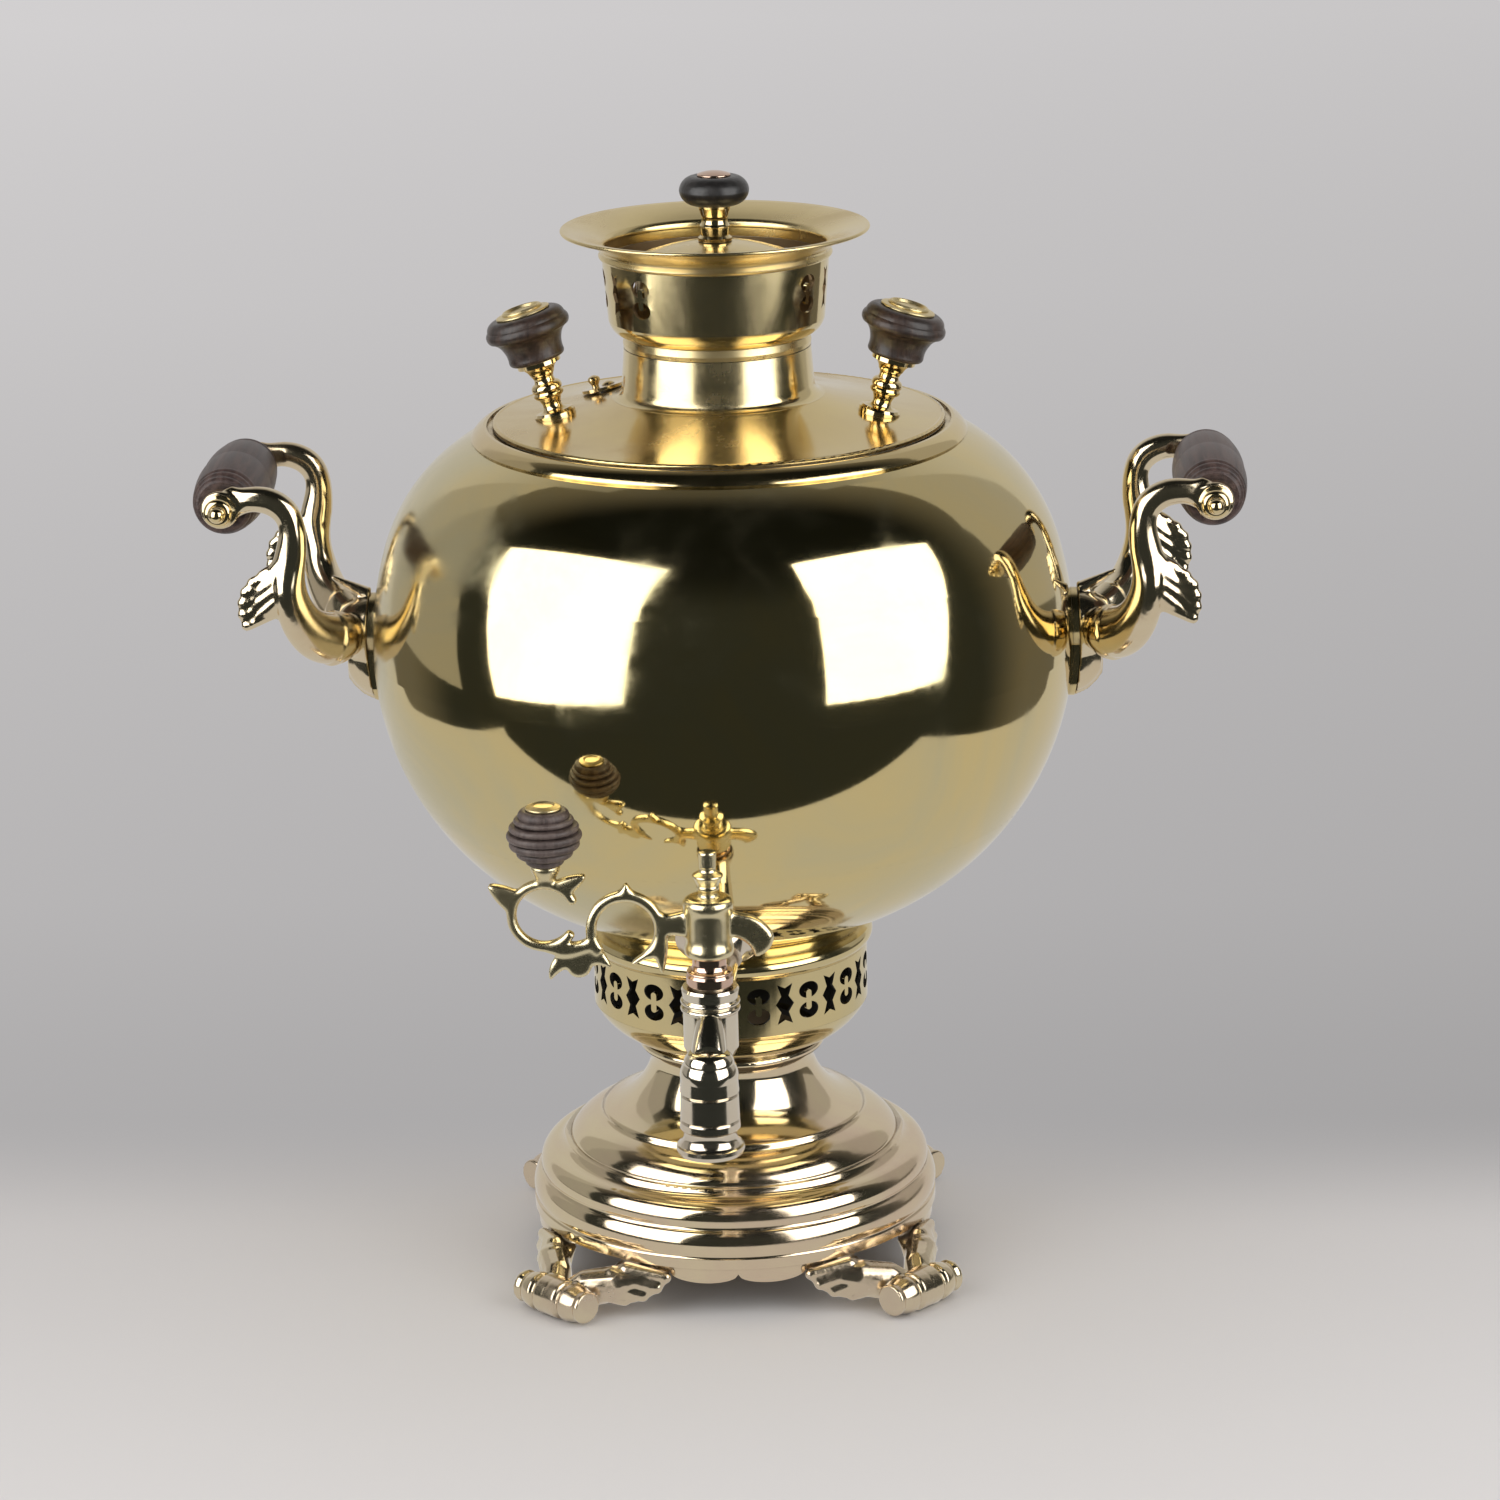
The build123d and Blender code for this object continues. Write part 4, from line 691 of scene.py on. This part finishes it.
def fused_casting(name, form, grain, filing, material, node, body, swell=0.0):
    """Puts the parts of a casting, fused into one skin and smoothed, in place of the node."""
    rough = new_piece(name + "_rough", form, material)
    fuse = rough.modifiers.new("fuse", "REMESH")
    fuse.mode = "VOXEL"
    fuse.voxel_size = grain
    file_down = rough.modifiers.new("file_down", "SMOOTH")
    file_down.factor = 0.5
    file_down.iterations = filing
    if swell:
        fatten = rough.modifiers.new("fatten", "DISPLACE")
        fatten.mid_level = 0.0
        fatten.strength = swell
    graph = bpy.context.evaluated_depsgraph_get()
    mesh = bpy.data.meshes.new_from_object(rough.evaluated_get(graph))
    bpy.data.objects.remove(rough)
    fused = bmesh.new()
    fused.from_mesh(mesh)
    piece = new_piece(name, fused, material)
    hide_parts(node)
    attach(piece, body)


for corner, diagonal in foot_turns:
    foot_form = merged_form("foot_" + corner)
    to_corner = Matrix.Rotation(base_turn + math.radians(diagonal), 4, "Z")
    for sign in (-1, 1):
        groups = []
        for group in leaf_lobes + branch_parts:
            balls = []
            for beyond, angle, below, radius in group:
                reach = rim_radius + beyond
                turn = math.radians(sign * angle)
                spot = Vector((reach * math.cos(turn), reach * math.sin(turn), rim_level - below))
                balls.append((to_corner @ spot, radius))
            groups.append(balls)
        add_leaf(foot_form, groups[:len(leaf_lobes)])
        for part in groups[len(leaf_lobes):]:
            add_hull(foot_form, part)
    fused_casting("roll_foot_" + corner, foot_form, foot_grain, foot_filing, foot_brass,
                  "foot_" + corner, "vessel")

# Gallery: a bowl and an upright band of sheet brass, pierced with a saw, that let air in under the fire.
# Both are bright outside and near-black inside, with soot and painted shade where the piercings look in; the
# ring moulding over them carries the ball.

sheet_gold = (0.80, 0.645, 0.33, 1)
sheet_green = (0.70, 0.60, 0.34, 1)
# painted shade: the inner side is lined near-black so the piercings show the shade of the inside
gallery_brass = brass(
    "gallery_brass", colour=sheet_gold, drift=sheet_green,
    sheen=0.07, haze=0.14, wipe=0.12, tarnish=0.9, dent=0.00008, reach=0.003,
    inner=lining(soot_and_shade_black, upright=0.0, metal=0.0))
collar_brass = brass(
    "collar_brass", colour=sheet_gold, drift=sheet_green,
    sheen=0.07, haze=0.14, wipe=0.10, tarnish=0.8, dent=0.00008)
finish_nodes(gallery_brass, "gallery_band", "gallery_bowl")
finish_nodes(collar_brass, "ball_collar")

# Ball: the water vessel, raised and spun from sheet brass in rings that are brazed together and planished
# until the seams are gone. It is mirror-bright outside, with a greenish bloom in clouds, and tinned inside.

ball_middle = 0.2495
ball_brass = brass(
    "ball_brass", colour=(0.79, 0.63, 0.30, 1), drift=(0.68, 0.60, 0.36, 1),
    sheen=0.035, haze=0.17, wipe=0.10, tarnish=0.6, dent=0.00016, reach=0.003,
    inner=lining(tin_grey, height=ball_middle))
finish_nodes(ball_brass, "ball_bottom", "ball_belly", "ball_side", "ball_shoulder")

# Boiler floor, firebox and flue: brass brazed into the ball. Their water side is tinned and furred with
# scale, and the side towards the fire is black with soot.

flue_lining = brass(
    "flue_lining", colour=tin_grey, drift=(0.52, 0.49, 0.42, 1),
    sheen=0.40, haze=0.15, wipe=0.10, tarnish=0.6, dent=0.0002, reach=0.004,
    inner=lining(soot_and_shade_black, upright=0.0, metal=0.0))
finish_nodes(flue_lining, "boiler_floor", "firebox_cone", "flue_tube")

# Fire grate: a plate of cast iron with slots, that lies loose on the firebox's lip under the charcoal. It
# is burnt grey-brown, with pale ash in its pores.

burnt_iron = speckled(
    "burnt_iron", first=(0.030, 0.026, 0.023, 1), second=(0.15, 0.13, 0.115, 1),
    metal=0.3, rough=0.62, scale=260.0, bump_height=0.0005)
finish_nodes(burnt_iron, "fire_grate")

# Rim ring: turned brass, brazed round the mouth, with the ledge that the lid lies on. Tarnish stays in the
# joint.

rim_brass = brass(
    "rim_brass", colour=sheet_gold, drift=(0.72, 0.57, 0.32, 1),
    sheen=0.06, haze=0.14, wipe=0.12, tarnish=1.0, dent=0.00010, reach=0.0035)
finish_nodes(rim_brass, "rim_ring")

# Handles: a dished plate riveted to the ball, a cast bracket with two S-shaped arms, and a turned wooden
# grip on an iron rod with ball-tipped nuts. The castings are pale and bright on their crests, brown in the
# flutes.

bracket_gold = (0.84, 0.73, 0.52, 1)
bracket_brass = brass(
    "bracket_brass", colour=bracket_gold, drift=(0.78, 0.63, 0.42, 1),
    sheen=0.09, haze=0.14, wipe=0.14, tarnish=1.0, dent=0.0003, reach=0.006)
nut_brass = brass(
    "nut_brass", colour=(0.83, 0.68, 0.38, 1), drift=(0.76, 0.60, 0.34, 1),
    sheen=0.06, haze=0.12, wipe=0.10, tarnish=0.9, dent=0.00006, reach=0.002)
turned_iron = speckled(
    "turned_iron", first=(0.34, 0.33, 0.32, 1), second=(0.52, 0.51, 0.50, 1),
    metal=1.0, rough=0.28, scale=500.0, bump_height=0.0001)


def worn_edges_group():
    """1 on crests and thin edges that hands rub bare, broken up by the grain."""
    group, given, result = start_group("worn_edges", ["Reach", "Amount"], ["Mask"])
    crest = add_node(group, "ShaderNodeAmbientOcclusion", {"Distance": given.outputs["Reach"]}, samples=8,
                     inside=True)
    bare = map_range(group, crest.outputs["AO"], low=0.78, high=0.42, kind="LINEAR")
    spots = noise(group, given.outputs["Vector"], scale=260.0, detail=6.0, roughness=0.7)
    broken = map_range(group, spots, low=0.34, high=0.60, kind="LINEAR")
    worn = math_node(group, "MULTIPLY", bare, broken)
    mask = math_node(group, "MULTIPLY", worn, given.outputs["Amount"], clamp=True)
    group.links.new(mask, result.inputs["Mask"])
    return group


worn_edges = worn_edges_group()
worn_reach = 0.002          # how near to an edge hands rub the wood, in metres
groove_reach = 0.003        # how far into a corner the stain gathers
groove_stain = 0.8
groove_shade = 0.3          # the stain in a groove, as a share of the dark colour
grain_stretch = 0.07        # the grain's scale along the wood, as a share of that across it
grain_roughness = 0.22
grain_depth = 0.0004
lacquer_roughness = 0.22


def turned_wood(name, dark, light, worn, along, sheen, wear, gloss):
    """Wood turned on the lathe: grain along one axis, stain darker in the grooves, crests worn."""
    material, tree, output = new_material(name)
    point = add_node(tree, "ShaderNodeTexCoord").outputs["Object"]
    stretch = [grain_stretch if axis == along else 1.0 for axis in "XYZ"]
    lengthwise = add_node(tree, "ShaderNodeMapping", {"Vector": point, "Scale": stretch}).outputs["Vector"]
    grain = noise(tree, lengthwise, scale=620.0, detail=8.0, roughness=0.72, distortion=0.4)
    broad = noise(tree, lengthwise, scale=130.0, detail=3.0, roughness=0.5, distortion=1.2)
    both = math_node(tree, "MULTIPLY_ADD", broad, 0.5, math_node(tree, "MULTIPLY", grain, 0.5))
    streak = map_range(tree, both, low=0.40, high=0.60)
    edges = add_node(tree, "ShaderNodeGroup", {
        "Vector": point, "Reach": worn_reach, "Amount": wear}, node_tree=worn_edges)
    grooves = add_node(tree, "ShaderNodeGroup", {
        "Vector": point, "Reach": groove_reach, "Amount": groove_stain}, node_tree=corner_tarnish)
    stain = blend(tree, streak, dark, light)
    deep = blend(tree, grooves.outputs["Mask"], stain, darker(dark, groove_shade))
    colour = blend(tree, edges.outputs["Mask"], deep, worn)
    rough = math_node(tree, "MULTIPLY_ADD", grain, grain_roughness, sheen)
    bump = add_node(tree, "ShaderNodeBump", {"Height": grain, "Distance": grain_depth, "Strength": 0.7})
    shader = add_node(tree, "ShaderNodeBsdfPrincipled", {
        "Base Color": colour, "Roughness": rough, "Normal": bump.outputs["Normal"], "Coat Weight": gloss,
        "Coat Roughness": lacquer_roughness})
    tree.links.new(shader.outputs["BSDF"], output.inputs["Surface"])
    return material


grip_wood = turned_wood(
    "grip_wood", dark=(0.030, 0.015, 0.013, 1), light=(0.085, 0.050, 0.042, 1),
    worn=(0.20, 0.145, 0.12, 1), along="Y", sheen=0.34, wear=0.7, gloss=0.12)
for side in ("left", "right"):
    finish_nodes(rim_brass, "handle_plate_" + side)
    finish_nodes(nut_brass, "grip_nuts_" + side)
    finish_nodes(turned_iron, "grip_rod_" + side)
    finish_nodes(grip_wood, "grip_" + side)

# Spurs: the outer side of each bracket's arms carries a short fluted fan, cast in one with the arm.

elbow_x = 0.1615            # how far out the arms' elbows are
arm_aside = 0.03835         # how far each arm is before or behind the middle
root_level = 0.2565
bracket_grain = 0.0007
bracket_filing = 6
fan_root_beyond = 0.0005    # the elbow
fan_root_height = 0.0345    # above the bracket's root
fan_root_radius = 0.0024
# each tip is given as its distance beyond the elbow and its height above the bracket's root
fan_tips = (
    (0.0100, 0.0290), (0.0140, 0.0262), (0.0168, 0.0226),
    (0.0180, 0.0184), (0.0181, 0.0140), (0.0168, 0.0096))
fan_highest = fan_tips[0][1]
fan_tip_radius = 0.0023
fan_root_fall = 0.9         # how far a lobe's root comes down, as a share of what its tip does

for side, way in (("left", -1), ("right", 1)):
    bracket_form = merged_form("handle_bracket_" + side)
    for aside in (-arm_aside, arm_aside):
        fan = []
        for beyond, height in fan_tips:
            root_height = fan_root_height - fan_root_fall * (fan_highest - height)
            root = Vector((way * (elbow_x + fan_root_beyond), aside, root_level + root_height))
            tip = Vector((way * (elbow_x + beyond), aside, root_level + height))
            fan.append([(root, fan_root_radius), (tip, fan_tip_radius)])
        add_leaf(bracket_form, fan)
    fused_casting("lyre_bracket_" + side, bracket_form, bracket_grain, bracket_filing, bracket_brass,
                  "handle_bracket_" + side, "vessel")

# Tap: one casting of pale brass for shank, barrel and spout, screwed into a flared joint on the ball. The
# plug is ground into the barrel's taper and drawn down by a washer and nut; a coppery packing collar closes
# its top.

tap_silver = (0.84, 0.77, 0.62, 1)
tap_rose = (0.74, 0.63, 0.50, 1)
tap_brass = brass(
    "tap_brass", colour=tap_silver, drift=tap_rose,
    sheen=0.08, haze=0.14, wipe=0.14, tarnish=1.0, dent=0.00018, reach=0.004)
plug_brass = brass(
    "plug_brass", colour=tap_silver, drift=tap_rose,
    sheen=0.16, haze=0.10, wipe=0.10, tarnish=0.8, dent=0.00005, reach=0.003)
collar_copper = brass(
    "collar_copper", colour=(0.80, 0.56, 0.42, 1), drift=(0.70, 0.50, 0.40, 1),
    sheen=0.10, haze=0.14, wipe=0.12, tarnish=0.9, dent=0.00008, reach=0.003)
finish_nodes(tap_brass, "tap_escutcheon", "tap_body")
finish_nodes(plug_brass, "tap_plug")
finish_nodes(collar_copper, "plug_collar")
finish_nodes(turned_iron, "plug_tail")

# Key: scrollwork cast flat in yellow brass and filed round along its edges, held on the plug's square by a
# turned finial. A small turned knob of stained wood, with a brass cap, keeps the hand off the hot metal.

key_gold = (0.84, 0.74, 0.48, 1)
scroll_grain = 0.0005
scroll_filing = 60
scroll_swell = 0.0004       # what the filing takes off its strokes, given back
key_brass = brass(
    "key_brass", colour=key_gold, drift=(0.78, 0.66, 0.40, 1),
    sheen=0.22, haze=0.14, wipe=0.14, tarnish=0.8, dent=0.0006, reach=0.004)
finish_nodes(key_brass, "key_finial")
fused_casting("key_scroll", merged_form("key_branch"), scroll_grain, scroll_filing, key_brass,
              "key_branch", "key", scroll_swell)
knob_wood = turned_wood(
    "knob_wood", dark=(0.045, 0.030, 0.027, 1), light=(0.115, 0.085, 0.075, 1),
    worn=(0.26, 0.21, 0.18, 1), along="Z", sheen=0.36, wear=0.8, gloss=0.08)
finish_nodes(knob_wood, "key_knob")
cap_brass = brass(
    "cap_brass", colour=(0.84, 0.70, 0.38, 1), drift=(0.74, 0.60, 0.34, 1),
    sheen=0.34, haze=0.12, wipe=0.10, tarnish=0.5, dent=0.00006, reach=0.002)
finish_nodes(cap_brass, "key_knob_cap")

# Lid: spun from sheet with a raised edge, tinned underneath, and soldered to the flared neck that stands
# round the flue. It lies loose on the rim's ledge and is lifted by two knobs.

far_below = -1.0            # a point that the lid's underside looks towards
lid_brass = brass(
    "lid_brass", colour=(0.79, 0.62, 0.28, 1), drift=(0.72, 0.56, 0.29, 1),
    sheen=0.09, haze=0.20, wipe=0.16, tarnish=0.9, dent=0.00014, reach=0.004,
    inner=lining(tin_grey, height=far_below))
neck_brass = brass(
    "neck_brass", colour=(0.83, 0.68, 0.36, 1), drift=(0.75, 0.62, 0.36, 1),
    sheen=0.10, haze=0.18, wipe=0.14, tarnish=0.9, dent=0.00012, reach=0.004,
    inner=lining(tin_grey, upright=0.0))
finish_nodes(lid_brass, "lid")
finish_nodes(neck_brass, "lid_neck")

# Lid knobs: a turned brass baluster is bolted through the lid, and a dark lacquered wooden knob is screwed
# on it under a brass cap.

lid_wood = turned_wood(
    "lid_wood", dark=(0.016, 0.009, 0.007, 1), light=(0.050, 0.028, 0.020, 1),
    worn=(0.13, 0.085, 0.06, 1), along="Z", sheen=0.28, wear=0.55, gloss=0.30)
for side in ("left", "right"):
    finish_nodes(nut_brass, "lid_knob_stem_" + side)
    finish_nodes(cap_brass, "lid_knob_cap_" + side)
    finish_nodes(turned_iron, "lid_knob_nut_" + side)
    finish_nodes(lid_wood, "lid_knob_" + side)

# Steam vent: a small brass cover on a rivet through the lid; it swings aside by its knob to let steam out.

finish_nodes(nut_brass, "vent_cover", "vent_rivet")

# Crown: a ring that slips over the flue, a pierced wall and a flared dish with a rolled lip, spun and
# soldered. It carries the teapot over the flue, and its inner side is brown with heat stain and painted
# shade seen through the piercings.

# heat stain with painted shade: darkens the crown's inner side so the piercings show the shade of the inside
heat_stain_and_shade_brown = (0.24, 0.16, 0.08, 1)
crown_brass = brass(
    "crown_brass", colour=sheet_gold, drift=(0.72, 0.60, 0.34, 1),
    sheen=0.06, haze=0.16, wipe=0.12, tarnish=0.9, dent=0.00010, reach=0.003,
    inner=lining(heat_stain_and_shade_brown, upright=0.0, metal=0.7))
dish_brass = brass(
    "dish_brass", colour=(0.86, 0.70, 0.36, 1), drift=(0.76, 0.61, 0.33, 1),
    sheen=0.17, haze=0.22, wipe=0.14, tarnish=0.8, dent=0.00014, reach=0.004)
finish_nodes(crown_brass, "crown_gallery")
finish_nodes(dish_brass, "crown_flange", "crown_seat")

# Flue cap: a spun bell that stands on the flue and smothers the fire, with a turned stem and a flattened
# black wooden knob under a copper rivet.

black_wood = turned_wood(
    "black_wood", dark=(0.007, 0.006, 0.006, 1), light=(0.016, 0.013, 0.012, 1),
    worn=(0.06, 0.045, 0.038, 1), along="Z", sheen=0.26, wear=0.4, gloss=0.35)
finish_nodes(dish_brass, "cap_dome")
finish_nodes(nut_brass, "cap_stem")
finish_nodes(black_wood, "cap_knob")
finish_nodes(collar_copper, "cap_rivet")
